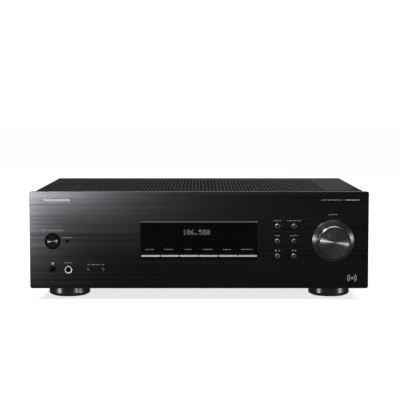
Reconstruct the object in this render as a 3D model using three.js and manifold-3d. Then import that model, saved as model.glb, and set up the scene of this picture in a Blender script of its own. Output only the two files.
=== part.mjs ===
// Full-width stereo receiver: aluminium front panel with its controls, sheet-steel case, and the
// electronics inside.
// Millimetres, +Z up. The front faces -Y, and the origin is on the floor under the middle of the bounding
// box.
import * as THREE from "three";
import { mergeVertices } from "three/addons/utils/BufferGeometryUtils.js";
import Module from "manifold-3d";

const wasm = await Module();
wasm.setup();

// ---------------------------------------------------------------- driving dimensions

const GAP = 0.3; // left between pieces that touch
const OVERLAP = 0.5; // how far two shapes of one piece run into each other where they are joined
const SIDES = { fine: 32, medium: 16, coarse: 12, least: 8 }; // facets of a round shape

const OVERALL_DEPTH = 321;
const KNOB_REACH = 20; // front of the volume knob, ahead of the front panel
const POST_REACH = 13; // ends of the speaker posts, behind the rear panel
const FACE_Y = -OVERALL_DEPTH / 2 + KNOB_REACH; // front face of the front panel
const REAR_Y = OVERALL_DEPTH / 2 - POST_REACH; // rear face of the rear panel

const PANEL = { width: 435, height: 125, bottom: 14.5, thick: 4, corner: 3 };
const PANEL_TOP = PANEL.bottom + PANEL.height;

// The moulding behind the front panel: a shallow tray, open to the rear.
const TRAY = {
  halfWidth: 215.5,
  bottom: 15.5,
  top: 138.5,
  front: FACE_Y + PANEL.thick + GAP,
  wall: 2.5,
  depth: 11,
};
const TRAY_INSIDE = TRAY.front + TRAY.wall;
const TRAY_BACK = TRAY.front + TRAY.depth;

const STEEL = 1; // sheet thickness of the case
const COVER = {
  halfWidth: 212.5,
  top: 139,
  bottom: 18,
  bend: 1.5,
  front: TRAY_BACK + GAP,
  back: REAR_Y + GAP + STEEL,
};
const COVER_LIP = 13; // height of the cover's flange behind the rear panel
const COVER_SLOTS = { columns: 23, pitch: 14.4, width: 2.8, length: 54, rowY: [-82, -20, 42] };
const PAN = {
  halfWidth: 210.8,
  bottom: 16.5,
  front: TRAY_BACK + GAP,
  back: REAR_Y - STEEL - GAP,
  flange: 13.5,
};
const PAN_FLOOR = PAN.bottom + STEEL;
const PAN_SLOTS = { pitch: 12, width: 3.6, length: 44 };
const REAR = { halfWidth: 210.8, bottom: PAN_FLOOR + GAP, top: 136.9, flange: 10 };
const REAR_VENTS = { first: -142, count: 9, pitch: 9, width: 3.5, bottom: 82, top: 122 };
const FOOT = { radius: 27, sole: 22.5, x: 171.5, frontY: FACE_Y + 48, rearY: REAR_Y - 38 };

// Front controls: x across the panel, z above the floor. A proud size is how far a piece stands ahead of
// the panel.
const POWER = { x: -188, z: 75.5, radius: 7.4, proud: 2.2, bevel: 0.8, collarInner: 7.8, collarOuter: 9.7 };
const SENSOR = { x: -169, z: 75.5, radius: 1.8, flange: 3 };
const MINI_JACK = { x: -188, z: 38.6, nose: 3.9, bore: 1.8, length: 15 };
const PHONES = { x: -168, z: 38.6, nose: 5.4, bore: 3.25, proud: 0.6, length: 26 };
const SPEAKER_KEYS = { x: [-142.4, -123.3], z: 38.7, radius: 2.85, proud: 1, bevel: 0.6 };
const FUNCTION_KEYS = { x: [100.5, 121.8], z: [94.9, 75.6, 56.4], radius: 3.65, proud: 3, bevel: 1 };
const KEY_CLEARANCE = 0.35;
const KEY_COLLAR = { thick: 1, overhang: 0.9 }; // keeps a key behind the tray's wall
const VOLUME = { x: 171.8, z: 76, bush: 4.5, shaft: 3, body: 7 };
// The knob's radii, and distances ahead of the panel.
const KNOB = {
  skirt: 27,
  skirtBack: 1,
  skirtFront: 2.6,
  shoulder: 21.6,
  shoulderFront: 6,
  barrel: 20.7,
  bevelBack: 18.6,
  rim: 19.2,
  recess: 18.9,
  recessFloor: 18.4,
  hub: 6.5,
  socketEnd: 14,
  wall: 3.2,
};

// Display block: a bezel that stands proud of the panel, holding the window above and the bar keys below.
const DISPLAY = { halfWidth: 75.3, bottom: 52.3, top: 101.3, proud: 1.8, side: 0.7 };
const WINDOW = { bottom: 60.1, top: 98.7, thick: 2 };
const TUBE = { halfWidth: 58, bottom: 66, top: 94, front: TRAY_INSIDE - 0.8 };
const BAR_KEYS = { count: 6, pitch: 24.9, width: 23.7, bottom: 53.3, top: 59.1, proud: 2.6 };
const BAR_SLOPE = { foot: 2.5, depth: 2.4 }; // sloping upper face: where it starts, and how far it leans
const BAR_COLLAR = { below: 1.4, above: 1.2 };
const BADGE = { x: -182.6, z: 128.3, halfWidth: 18, halfHeight: 2, proud: 1.1 };

const BOARD = { thick: 1.6, front: TRAY_BACK - 2.2, halfWidth: 210, bottom: 21, top: 133 };
const JACK_NOTCH = { right: -152, top: 52 }; // corner of the control board that is left out for the jacks
const SWITCH = { half: 3, height: 3.9, powerHeight: 3.4 };
const CONNECTOR = { left: -22, right: 12, height: 8, reach: 5, z: 60 };
const MAIN_BOARD_Z = 27; // underside of the boards that stand on the pan
const MAIN_BOARD_TOP = MAIN_BOARD_Z + BOARD.thick;

// Rear connectors. A reach is how far a piece stands behind the rear panel.
const RCA = {
  x: [68, 88, 108, 128, 148],
  z: [88, 104],
  shell: 4.15,
  ring: 5.6,
  body: 4.7,
  bore: 1.7,
  reach: 9,
};
const RCA_HOUSING = { margin: 8, depth: 12 };
const AERIAL = { x: 188, z: 112, radius: 4.7, face: 3.4, nut: 7, reach: 11.5, housing: 13 };
const EARTH = { x: 188, z: 60, stud: 1.8, reach: 9, cap: 5, root: 4.5, capFront: 1, capBack: 8 };
const POSTS = {
  x: [-39, -20, -1, 18],
  z: [58, 82],
  stud: 3,
  bore: 2.05,
  cap: 5.9,
  root: 5.4,
  capBore: 3.5,
};
const TERMINALS = { x0: -53, x1: 32, z0: 43, z1: 97, flange: 3.2, lip: 3.5, depth: 9 };
const INLET = {
  x: -180,
  z: 48,
  halfWidth: 12.3,
  halfHeight: 8.4,
  chamfer: 4,
  depth: 15,
  pinSpacing: 7,
  flange: 2.2,
};
const INLET_BODY = { halfWidth: 14, halfHeight: 10.1, flangeWidth: 16.5, flangeHeight: 13 };

// Inside.
const TRANSFORMER = {
  x: -148,
  y: -45,
  bottom: PAN_FLOOR + GAP,
  limb: 14,
  stack: 22.5,
  height: 70,
  foot: 56,
  plate: 3,
};
const HEAT_SINK = { x0: -72, x1: 72, y: 40, base: 5, fin: 28, finThick: 2, fins: 15, bottom: 29, top: 112 };
const TRANSISTORS = { x: [-48, -16, 16, 48], half: 8, bottom: 44, top: 64, thick: 5 };
const CAPACITOR = { radius: 17.5, height: 50, x: [35, 80], y: -50 };
const TUNER = { x0: 160, x1: 204, front: 78, back: 128, bottom: 96, top: 124 };
const RIBBON = { x0: -18, x1: 8, thick: 0.6, frontZ: 63, rearY: -69, steps: 10 };

// ---------------------------------------------------------------- shapes

// A closed geometry as a manifold-3d solid, for joining and cutting.
function toSolid(geometry) {
  const bare = geometry.index ? geometry.toNonIndexed() : geometry.clone();
  bare.deleteAttribute("normal");
  bare.deleteAttribute("uv");
  const merged = mergeVertices(bare, 1e-4);
  return new wasm.Manifold(
    new wasm.Mesh({
      numProp: 3,
      vertProperties: merged.attributes.position.array,
      triVerts: new Uint32Array(merged.index.array),
    }),
  );
}

function toGeometry(solid) {
  const mesh = solid.getMesh();
  return new THREE.BufferGeometry()
    .setAttribute("position", new THREE.BufferAttribute(new Float32Array(mesh.vertProperties), 3))
    .setIndex(new THREE.BufferAttribute(new Uint32Array(mesh.triVerts), 1));
}

const join = (...pieces) => toGeometry(pieces.map(toSolid).reduce((a, b) => a.add(b)));
const cut = (body, ...tools) =>
  toGeometry(tools.map(toSolid).reduce((a, b) => a.subtract(b), toSolid(body)));

// A box given by its span along each axis.
function block([x0, x1], [y0, y1], [z0, z1]) {
  const box = new THREE.BoxGeometry(x1 - x0, y1 - y0, z1 - z0);
  return box.translate((x0 + x1) / 2, (y0 + y1) / 2, (z0 + z1) / 2);
}

// Points of a circle, a rectangle and a rectangle with round corners, for outlines and holes.
function circle(x, z, radius, sides = SIDES.medium) {
  return Array.from({ length: sides }, (_, i) => {
    const angle = (2 * Math.PI * i) / sides;
    return [x + radius * Math.cos(angle), z + radius * Math.sin(angle)];
  });
}

const rectangle = (x0, x1, z0, z1) => [[x0, z0], [x1, z0], [x1, z1], [x0, z1]];

// A quarter turn about (x, z) from the given number of right angles, anticlockwise.
function corner(x, z, radius, quarter, steps = 4) {
  return Array.from({ length: steps + 1 }, (_, i) => {
    const angle = (Math.PI / 2) * (quarter + i / steps);
    return [x + radius * Math.cos(angle), z + radius * Math.sin(angle)];
  });
}

function roundedRectangle(x0, x1, z0, z1, r) {
  return [
    ...corner(x1 - r, z1 - r, r, 0),
    ...corner(x0 + r, z1 - r, r, 1),
    ...corner(x0 + r, z0 + r, r, 2),
    ...corner(x1 - r, z0 + r, r, 3),
  ];
}

const toPoints = (pairs) => pairs.map(([a, b]) => new THREE.Vector2(a, b));

// An outline extruded upwards from z = 0, with each hole cut right through.
function extrude(outline, holes, depth) {
  const prism = (points, height) =>
    new THREE.ExtrudeGeometry(new THREE.Shape(toPoints(points)), { depth: height, bevelEnabled: false });
  if (holes.length === 0) {
    return prism(outline, depth);
  }
  return cut(prism(outline, depth), ...holes.map((hole) => prism(hole, depth + 2).translate(0, 0, -1)));
}

// An outline in XZ, extruded along Y from y0 to y1.
function upright(outline, holes, y0, y1) {
  return extrude(outline, holes, y1 - y0).rotateX(Math.PI / 2).translate(0, y1, 0);
}

// An outline in XY, extruded upwards from z0 to z1.
function level(outline, holes, z0, z1) {
  return extrude(outline, holes, z1 - z0).translate(0, 0, z0);
}

// An outline in YZ, extruded along X from x0 to x1.
function lengthwise(outline, x0, x1) {
  return extrude(outline, [], x1 - x0).rotateX(Math.PI / 2).rotateZ(Math.PI / 2).translate(x0, 0, 0);
}

// A turned piece about the Y axis: [radius, y] pairs that start and end on the axis, or close on
// themselves.
function turned(profile, sides = SIDES.medium) {
  const closed = profile[0][0] > 0 ? [...profile, profile[0]] : profile;
  const area = closed.reduce((sum, [r, y], i) => {
    const [nextR, nextY] = closed[(i + 1) % closed.length];
    return sum + r * nextY - nextR * y;
  }, 0);
  return new THREE.LatheGeometry(toPoints(area > 0 ? closed : closed.reverse()), sides);
}

const rod = (radius, y0, y1, sides) => turned([[0, y0], [radius, y0], [radius, y1], [0, y1]], sides);
const tube = (outer, inner, y0, y1, sides) =>
  turned([[inner, y0], [outer, y0], [outer, y1], [inner, y1]], sides);

// ---------------------------------------------------------------- materials

function material(color, roughness, metalness) {
  return new THREE.MeshStandardMaterial({ color, roughness, metalness });
}

const blackAluminium = material(0x16161a, 0.38, 0.9);
const turnedAluminium = material(0x4a4b50, 0.3, 1);
const blackPlastic = material(0x101012, 0.5, 0);
const glossPlastic = material(0x1a1a1e, 0.2, 0);
const paintedSteel = material(0x1d1d20, 0.6, 0.3);
const plainSteel = material(0x9a9ca0, 0.4, 1);
const nickel = material(0xc8c8c6, 0.25, 1);
const silverPlastic = material(0xb9babd, 0.3, 0.6);
const smokedAcrylic = material(0x050506, 0.08, 0);
const displayGlass = material(0x22302e, 0.1, 0);
const castAluminium = material(0x8d9094, 0.5, 1);
const circuitBoard = material(0x2f5a2c, 0.55, 0);
const copperWinding = material(0x8a4a22, 0.4, 0.7);
const laminations = material(0x3b3a3c, 0.5, 0.8);
const capacitorSleeve = material(0x1b2640, 0.35, 0);
const ribbonPlastic = material(0xc9c6bc, 0.5, 0);
const redPlastic = material(0xa01418, 0.35, 0);

const receiver = new THREE.Group();

function add(name, geometry, finish, x = 0, y = 0, z = 0) {
  const mesh = new THREE.Mesh(geometry, finish);
  mesh.name = name;
  mesh.position.set(x, y, z);
  receiver.add(mesh);
}

// ---------------------------------------------------------------- front

// Every round key that comes through the panel, with its place and radius.
const roundKeys = [
  ...SPEAKER_KEYS.x.map((x) => ({ x, z: SPEAKER_KEYS.z, radius: SPEAKER_KEYS.radius })),
  ...FUNCTION_KEYS.z.flatMap((z) => FUNCTION_KEYS.x.map((x) => ({ x, z, radius: FUNCTION_KEYS.radius }))),
];
const keyHoles = roundKeys.map(({ x, z, radius }) => circle(x, z, radius + KEY_CLEARANCE));
const barKeyX = Array.from(
  { length: BAR_KEYS.count },
  (_, i) => BAR_KEYS.pitch * (i - (BAR_KEYS.count - 1) / 2),
);
const bezelInside = DISPLAY.halfWidth - DISPLAY.side;
const barKeyOpening = rectangle(-bezelInside, bezelInside, BAR_KEYS.bottom - GAP, BAR_KEYS.top + GAP);

function frontPanel() {
  const half = PANEL.width / 2;
  const displayHalf = DISPLAY.halfWidth + GAP;
  const holes = [
    circle(POWER.x, POWER.z, POWER.collarOuter + GAP, SIDES.fine),
    circle(SENSOR.x, SENSOR.z, SENSOR.radius + GAP, SIDES.coarse),
    circle(MINI_JACK.x, MINI_JACK.z, MINI_JACK.nose + GAP),
    circle(PHONES.x, PHONES.z, PHONES.nose + KEY_CLEARANCE, SIDES.fine),
    circle(VOLUME.x, VOLUME.z, VOLUME.bush + 1),
    rectangle(-displayHalf, displayHalf, DISPLAY.bottom - GAP, DISPLAY.top + GAP),
    ...keyHoles,
  ];
  const outline = roundedRectangle(-half, half, PANEL.bottom, PANEL_TOP, PANEL.corner);
  return upright(outline, holes, FACE_Y, FACE_Y + PANEL.thick);
}

function frontTray() {
  const { halfWidth, bottom, top, front, wall } = TRAY;
  const outline = roundedRectangle(-halfWidth, halfWidth, bottom, top, PANEL.corner);
  const inner = rectangle(wall - halfWidth, halfWidth - wall, bottom + wall, top - wall);
  const ledge = 1; // of the tray behind the window's edge
  const windowHalf = bezelInside - ledge;
  const holes = [
    circle(POWER.x, POWER.z, POWER.collarInner, SIDES.fine),
    circle(SENSOR.x, SENSOR.z, SENSOR.radius + GAP, SIDES.coarse),
    circle(MINI_JACK.x, MINI_JACK.z, MINI_JACK.nose + GAP),
    circle(PHONES.x, PHONES.z, PHONES.nose + GAP, SIDES.fine),
    circle(VOLUME.x, VOLUME.z, VOLUME.bush + GAP),
    rectangle(-windowHalf, windowHalf, WINDOW.bottom + ledge, WINDOW.top - ledge),
    barKeyOpening,
    ...keyHoles,
  ];
  const frontWall = upright(outline, holes, front, TRAY_INSIDE);
  const rim = upright(outline, [inner], TRAY_INSIDE - OVERLAP, TRAY_BACK);
  const collar = tube(POWER.collarOuter, POWER.collarInner, FACE_Y + GAP, TRAY_INSIDE, SIDES.fine);
  return join(frontWall, rim, collar.translate(POWER.x, 0, POWER.z));
}

function displayBezel() {
  const { halfWidth, bottom, top, proud } = DISPLAY;
  const windowOpening = rectangle(-bezelInside, bezelInside, WINDOW.bottom, WINDOW.top);
  const outline = rectangle(-halfWidth, halfWidth, bottom, top);
  return upright(outline, [windowOpening, barKeyOpening], FACE_Y - proud, TRAY.front - GAP);
}

function displayWindow() {
  const half = bezelInside - GAP;
  const front = FACE_Y - DISPLAY.proud + GAP;
  return block([-half, half], [front, front + WINDOW.thick], [WINDOW.bottom + GAP, WINDOW.top - GAP]);
}

function displayTube() {
  const { halfWidth, bottom, top, front } = TUBE;
  return block([-halfWidth, halfWidth], [front, BOARD.front - GAP], [bottom, top]);
}

function nameBadge() {
  const { halfWidth, halfHeight, proud } = BADGE;
  const outline = roundedRectangle(-halfWidth, halfWidth, -halfHeight, halfHeight, halfHeight);
  return upright(outline, [], -proud, -GAP);
}

// A bar key: upright lower face, sloping upper face, and a collar behind the tray's wall.
function barKey() {
  const half = BAR_KEYS.width / 2;
  const front = FACE_Y - BAR_KEYS.proud;
  const collarFront = TRAY_INSIDE + GAP;
  const body = lengthwise(
    [
      [front, BAR_KEYS.bottom],
      [collarFront + OVERLAP, BAR_KEYS.bottom],
      [collarFront + OVERLAP, BAR_KEYS.top],
      [front + BAR_SLOPE.depth, BAR_KEYS.top],
      [front, BAR_KEYS.bottom + BAR_SLOPE.foot],
    ],
    -half,
    half,
  );
  const collar = block(
    [-half, half],
    [collarFront, collarFront + KEY_COLLAR.thick],
    [BAR_KEYS.bottom - BAR_COLLAR.below, BAR_KEYS.top + BAR_COLLAR.above],
  );
  return join(body, collar);
}

// A round key, with y measured from the panel's face: a bevelled cap, its barrel, and a collar inside.
function roundKey({ radius, proud, bevel }, sides = SIDES.medium) {
  const collarFront = TRAY_INSIDE + GAP - FACE_Y;
  const collarBack = collarFront + KEY_COLLAR.thick;
  const collar = radius + KEY_COLLAR.overhang;
  return turned(
    [
      [0, -proud],
      [radius - bevel, -proud],
      [radius, bevel - proud],
      [radius, collarFront],
      [collar, collarFront],
      [collar, collarBack],
      [0, collarBack],
    ],
    sides,
  );
}

// Volume knob, hollow from behind: a bevelled skirt near the panel and a straight barrel with a recessed
// end.
function volumeKnob() {
  const inner = KNOB.barrel - KNOB.wall;
  const hollowEnd = KNOB.recessFloor - KNOB.wall;
  const skirtInner = KNOB.skirt - KNOB.wall;
  return turned(
    [
      [0, -KNOB.socketEnd],
      [VOLUME.shaft + GAP, -KNOB.socketEnd],
      [VOLUME.shaft + GAP, -KNOB.skirtBack],
      [KNOB.hub, -KNOB.skirtBack],
      [KNOB.hub, -hollowEnd],
      [inner, -hollowEnd],
      [inner, -KNOB.skirtFront],
      [skirtInner, -KNOB.skirtBack],
      [KNOB.skirt, -KNOB.skirtBack],
      [KNOB.skirt, -KNOB.skirtFront],
      [KNOB.shoulder, -KNOB.shoulderFront],
      [KNOB.barrel, -KNOB.shoulderFront - GAP],
      [KNOB.barrel, -KNOB.bevelBack],
      [KNOB.rim, -KNOB_REACH],
      [KNOB.recess, -KNOB.recessFloor],
      [0, -KNOB.recessFloor],
    ],
    SIDES.fine,
  );
}

const knobDisc = () => rod(KNOB.recess - GAP, GAP - KNOB_REACH, -KNOB.recessFloor - GAP, SIDES.fine);

function volumeShaft() {
  const front = FACE_Y - KNOB.socketEnd + GAP;
  return rod(VOLUME.shaft, front, BOARD.front - 1 - GAP, SIDES.coarse);
}

function controlBoard() {
  const { front, thick, halfWidth, bottom, top } = BOARD;
  const outline = [
    [JACK_NOTCH.right, bottom],
    [halfWidth, bottom],
    [halfWidth, top],
    [-halfWidth, top],
    [-halfWidth, JACK_NOTCH.top],
    [JACK_NOTCH.right, JACK_NOTCH.top],
  ];
  const screwHoles = [[-203, 128], [203, 128], [203, 26], [-60, 26], [60, 128], [-90, 128]];
  const board = upright(
    outline,
    screwHoles.map(([x, z]) => circle(x, z, 1.6, SIDES.least)),
    front,
    front + thick,
  );
  const pushSwitch = (x, z, height) =>
    block(
      [x - SWITCH.half, x + SWITCH.half],
      [front - height, front + OVERLAP],
      [z - SWITCH.half, z + SWITCH.half],
    );
  const connector = block(
    [CONNECTOR.left, CONNECTOR.right],
    [front + thick - OVERLAP, front + thick + CONNECTOR.reach],
    [CONNECTOR.z, CONNECTOR.z + CONNECTOR.reach],
  );
  return join(
    board,
    ...roundKeys.map(({ x, z }) => pushSwitch(x, z, SWITCH.height)),
    ...barKeyX.map((x) => pushSwitch(x, (BAR_KEYS.bottom + BAR_KEYS.top) / 2, SWITCH.height)),
    pushSwitch(POWER.x, POWER.z, SWITCH.powerHeight),
    connector,
  );
}

function volumeEncoder() {
  const half = VOLUME.body;
  const body = block([-half, half], [TRAY_INSIDE + GAP, BOARD.front - GAP], [-half, half]);
  const bush = rod(VOLUME.bush, FACE_Y + 1, TRAY_INSIDE + GAP + OVERLAP);
  const bore = rod(VOLUME.shaft + GAP, FACE_Y, BOARD.front - 1, SIDES.coarse);
  return cut(join(body, bush), bore);
}

// A jack socket: a round nose through the panel, a box behind it, and a blind bore.
function jack({ nose, bore, length }, noseFront, [halfWidth, halfHeight], sides) {
  const back = TRAY_INSIDE + length;
  const endWall = 2;
  const front = rod(nose, noseFront, TRAY_INSIDE + endWall, sides);
  const body = block([-halfWidth, halfWidth], [TRAY_INSIDE + GAP, back], [-halfHeight, halfHeight]);
  return cut(join(front, body), rod(bore, noseFront - 1, back - endWall, sides));
}

const phonesJack = () => jack(PHONES, FACE_Y - PHONES.proud, [8, 7], SIDES.fine);
const miniJack = () => jack(MINI_JACK, FACE_Y + GAP, [5, 4.5], SIDES.medium);

function sensorWindow() {
  const front = FACE_Y + GAP;
  const flangeFront = TRAY_INSIDE + GAP;
  const flangeBack = flangeFront + KEY_COLLAR.thick;
  return turned(
    [
      [0, front],
      [SENSOR.radius, front],
      [SENSOR.radius, flangeFront],
      [SENSOR.flange, flangeFront],
      [SENSOR.flange, flangeBack],
      [0, flangeBack],
    ],
    SIDES.coarse,
  );
}

function addKeys() {
  barKeyX.forEach((x, i) => add(`input_key_${i + 1}`, barKey(), silverPlastic, x));
  SPEAKER_KEYS.x.forEach((x, i) => {
    const name = `speaker_key_${"ab"[i]}`;
    add(name, roundKey(SPEAKER_KEYS), glossPlastic, x, FACE_Y, SPEAKER_KEYS.z);
  });
  FUNCTION_KEYS.z.forEach((z, row) => {
    FUNCTION_KEYS.x.forEach((x, column) => {
      const name = `function_key_${row * FUNCTION_KEYS.x.length + column + 1}`;
      add(name, roundKey(FUNCTION_KEYS), glossPlastic, x, FACE_Y, z);
    });
  });
  add("power_button", roundKey(POWER, SIDES.fine), turnedAluminium, POWER.x, FACE_Y, POWER.z);
}

function addFront() {
  add("front_panel", frontPanel(), blackAluminium);
  add("front_tray", frontTray(), blackPlastic);
  add("display_bezel", displayBezel(), glossPlastic);
  add("display_window", displayWindow(), smokedAcrylic);
  add("display_tube", displayTube(), displayGlass);
  add("name_badge", nameBadge(), nickel, BADGE.x, FACE_Y, BADGE.z);
  addKeys();
  add("volume_knob", volumeKnob(), turnedAluminium, VOLUME.x, FACE_Y, VOLUME.z);
  add("volume_knob_disc", knobDisc(), turnedAluminium, VOLUME.x, FACE_Y, VOLUME.z);
  add("volume_shaft", volumeShaft(), nickel, VOLUME.x, 0, VOLUME.z);
  add("volume_encoder", volumeEncoder(), nickel, VOLUME.x, 0, VOLUME.z);
  add("control_board", controlBoard(), circuitBoard);
  add("phones_jack", phonesJack(), nickel, PHONES.x, 0, PHONES.z);
  add("portable_jack", miniJack(), blackPlastic, MINI_JACK.x, 0, MINI_JACK.z);
  add("sensor_window", sensorWindow(), smokedAcrylic, SENSOR.x, 0, SENSOR.z);
}

// ---------------------------------------------------------------- case

// Bottom pan: a floor with a low flange at the front and both sides, and ventilation slots.
function chassisPan() {
  const { halfWidth, bottom, front, back, flange } = PAN;
  const slotRow = (middle, count, y) =>
    Array.from({ length: count }, (_, i) => {
      const x = middle + PAN_SLOTS.pitch * (i - (count - 1) / 2);
      return rectangle(
        x - PAN_SLOTS.width / 2,
        x + PAN_SLOTS.width / 2,
        y - PAN_SLOTS.length / 2,
        y + PAN_SLOTS.length / 2,
      );
    });
  const slots = [...slotRow(0, 12, HEAT_SINK.y + 22), ...slotRow(-20, 9, -70)];
  const floor = level(rectangle(-halfWidth, halfWidth, front, back), slots, bottom, PAN_FLOOR);
  const top = bottom + flange;
  const side = (x) => block([x, x + STEEL], [front, back], [bottom, top]);
  const frontFlange = block([-halfWidth, halfWidth], [front, front + STEEL], [bottom, top]);
  return join(floor, side(-halfWidth), side(halfWidth - STEEL), frontFlange);
}

// Rear panel: openings for the connectors, vents, a flange down each side, and the riveted earth stud.
function rearPanel() {
  const { halfWidth, bottom, top, flange } = REAR;
  const vents = Array.from({ length: REAR_VENTS.count }, (_, i) => {
    const x = REAR_VENTS.first + REAR_VENTS.pitch * i;
    return rectangle(x, x + REAR_VENTS.width, REAR_VENTS.bottom, REAR_VENTS.top);
  });
  const { x0, x1, z0, z1, lip } = TERMINALS;
  const inletX = INLET_BODY.halfWidth + GAP;
  const inletZ = INLET_BODY.halfHeight + GAP;
  const holes = [
    ...RCA.x.flatMap((x) => RCA.z.map((z) => circle(x, z, RCA.body + GAP, SIDES.coarse))),
    rectangle(x0 + lip - GAP, x1 - lip + GAP, z0 + lip - GAP, z1 - lip + GAP),
    rectangle(INLET.x - inletX, INLET.x + inletX, INLET.z - inletZ, INLET.z + inletZ),
    circle(AERIAL.x, AERIAL.z, AERIAL.radius + GAP, SIDES.coarse),
    ...vents,
  ];
  const sheet = upright(rectangle(-halfWidth, halfWidth, bottom, top), holes, REAR_Y - STEEL, REAR_Y);
  const clearOfPan = PAN.bottom + PAN.flange + 1;
  const side = (x) => block([x, x + STEEL], [REAR_Y - flange, REAR_Y - OVERLAP], [clearOfPan, top]);
  const stud = rod(EARTH.stud, REAR_Y - OVERLAP, REAR_Y + EARTH.reach, SIDES.coarse);
  return join(sheet, side(-halfWidth), side(halfWidth - STEEL), stud.translate(EARTH.x, 0, EARTH.z));
}

// Top cover: one sheet folded over the sides, slotted on top, with a lip behind the rear panel.
function topCover() {
  const { halfWidth, top, bottom, bend, front, back } = COVER;
  const bendX = halfWidth - bend;
  const bendZ = top - bend;
  const section = [
    [halfWidth, bottom],
    ...corner(bendX, bendZ, bend, 0),
    ...corner(-bendX, bendZ, bend, 1),
    [-halfWidth, bottom],
    [STEEL - halfWidth, bottom],
    ...corner(-bendX, bendZ, bend - STEEL, 1).reverse(),
    ...corner(bendX, bendZ, bend - STEEL, 0).reverse(),
    [halfWidth - STEEL, bottom],
  ];
  const sheet = upright(section, [], front, back);
  const lipHalf = bendX - GAP;
  const lip = block([-lipHalf, lipHalf], [back - STEEL, back], [top - COVER_LIP, top - OVERLAP]);
  const { columns, pitch, width, length, rowY } = COVER_SLOTS;
  const slots = rowY.flatMap((y) =>
    Array.from({ length: columns }, (_, i) => {
      const x = pitch * (i - (columns - 1) / 2);
      const spanY = [y - length / 2, y + length / 2];
      return block([x - width / 2, x + width / 2], spanY, [top - 2 * STEEL, top + STEEL]);
    }),
  );
  return cut(join(sheet, lip), ...slots);
}

// A foot: a round body with a softened bottom edge and a flat sole.
function foot() {
  const height = PAN.bottom - GAP;
  const { radius, sole } = FOOT;
  const profile = [
    [0, 0],
    [sole, 0],
    [radius - 1.8, 1.2],
    [radius - 0.4, 2.4],
    [radius, 4],
    [radius, height],
    [0, height],
  ];
  return turned(profile.map(([r, z]) => [r, -z]), 24).rotateX(-Math.PI / 2);
}

function addCase() {
  add("chassis_pan", chassisPan(), plainSteel);
  add("rear_panel", rearPanel(), paintedSteel);
  add("top_cover", topCover(), paintedSteel);
  [["front", FOOT.frontY], ["rear", FOOT.rearY]].forEach(([end, y]) => {
    [["left", -1], ["right", 1]].forEach(([side, sign]) => {
      add(`foot_${end}_${side}`, foot(), glossPlastic, sign * FOOT.x, y);
    });
  });
}

// ---------------------------------------------------------------- rear connectors

const OUTSIDE = REAR_Y + GAP; // where a flange or ring lies on the rear panel
const INSIDE = REAR_Y - STEEL - GAP;

// Phono sockets on one moulded housing that stands behind the rear panel.
function rcaJackBlock() {
  const { x: columns, z: rows, shell, ring, body, bore, reach } = RCA;
  const { margin, depth } = RCA_HOUSING;
  const housing = block(
    [columns[0] - margin, columns.at(-1) + margin],
    [INSIDE - depth, INSIDE],
    [rows[0] - margin, rows[1] + margin],
  );
  const ringBack = OUTSIDE + 1.5;
  const socket = turned(
    [
      [0, ringBack],
      [bore, ringBack],
      [bore, REAR_Y + reach],
      [shell, REAR_Y + reach],
      [shell, ringBack],
      [ring, ringBack],
      [ring, OUTSIDE],
      [body, OUTSIDE],
      [body, INSIDE - 1],
      [0, INSIDE - 1],
    ],
    SIDES.least,
  );
  return join(housing, ...columns.flatMap((x) => rows.map((z) => socket.clone().translate(x, 0, z))));
}

// Speaker terminal moulding with its eight fixed studs.
function speakerTerminalBlock() {
  const { x0, x1, z0, z1, flange, lip, depth } = TERMINALS;
  const plate = upright(roundedRectangle(x0, x1, z0, z1, 2), [], OUTSIDE, OUTSIDE + flange);
  const plug = block([x0 + lip, x1 - lip], [REAR_Y - depth, OUTSIDE + OVERLAP], [z0 + lip, z1 - lip]);
  const studEnd = REAR_Y + POST_REACH - OVERLAP;
  const stud = turned(
    [
      [0, OUTSIDE + flange + 2],
      [POSTS.bore, OUTSIDE + flange + 2],
      [POSTS.bore, studEnd],
      [POSTS.stud, studEnd],
      [POSTS.stud, OUTSIDE + flange - 1],
      [0, OUTSIDE + flange - 1],
    ],
    SIDES.least,
  );
  return join(plate, plug, ...POSTS.x.flatMap((x) => POSTS.z.map((z) => stud.clone().translate(x, 0, z))));
}

// A fluted cap that screws along its stud.
function flutedCap(outer, root, bore, y0, y1) {
  const flutes = SIDES.coarse;
  const outline = Array.from({ length: flutes * 2 }, (_, i) => {
    const angle = (Math.PI * i) / flutes;
    const radius = i % 2 ? root : outer;
    return [radius * Math.cos(angle), radius * Math.sin(angle)];
  });
  return upright(outline, [circle(0, 0, bore, SIDES.coarse)], y0, y1);
}

// Threaded aerial socket: hexagonal nut outside, housing inside.
function aerialSocket() {
  const { radius, face, nut, reach, housing } = AERIAL;
  const half = housing / 2;
  const collar = upright(circle(0, 0, nut, 6), [], OUTSIDE, OUTSIDE + 3);
  const barrel = turned([
    [0, REAR_Y + reach - 1],
    [face, REAR_Y + reach - 1],
    [face, REAR_Y + reach],
    [radius, REAR_Y + reach],
    [radius, INSIDE - 1],
    [0, INSIDE - 1],
  ]);
  return join(collar, barrel, block([-half, half], [INSIDE - housing, INSIDE], [-half, half]));
}

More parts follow.
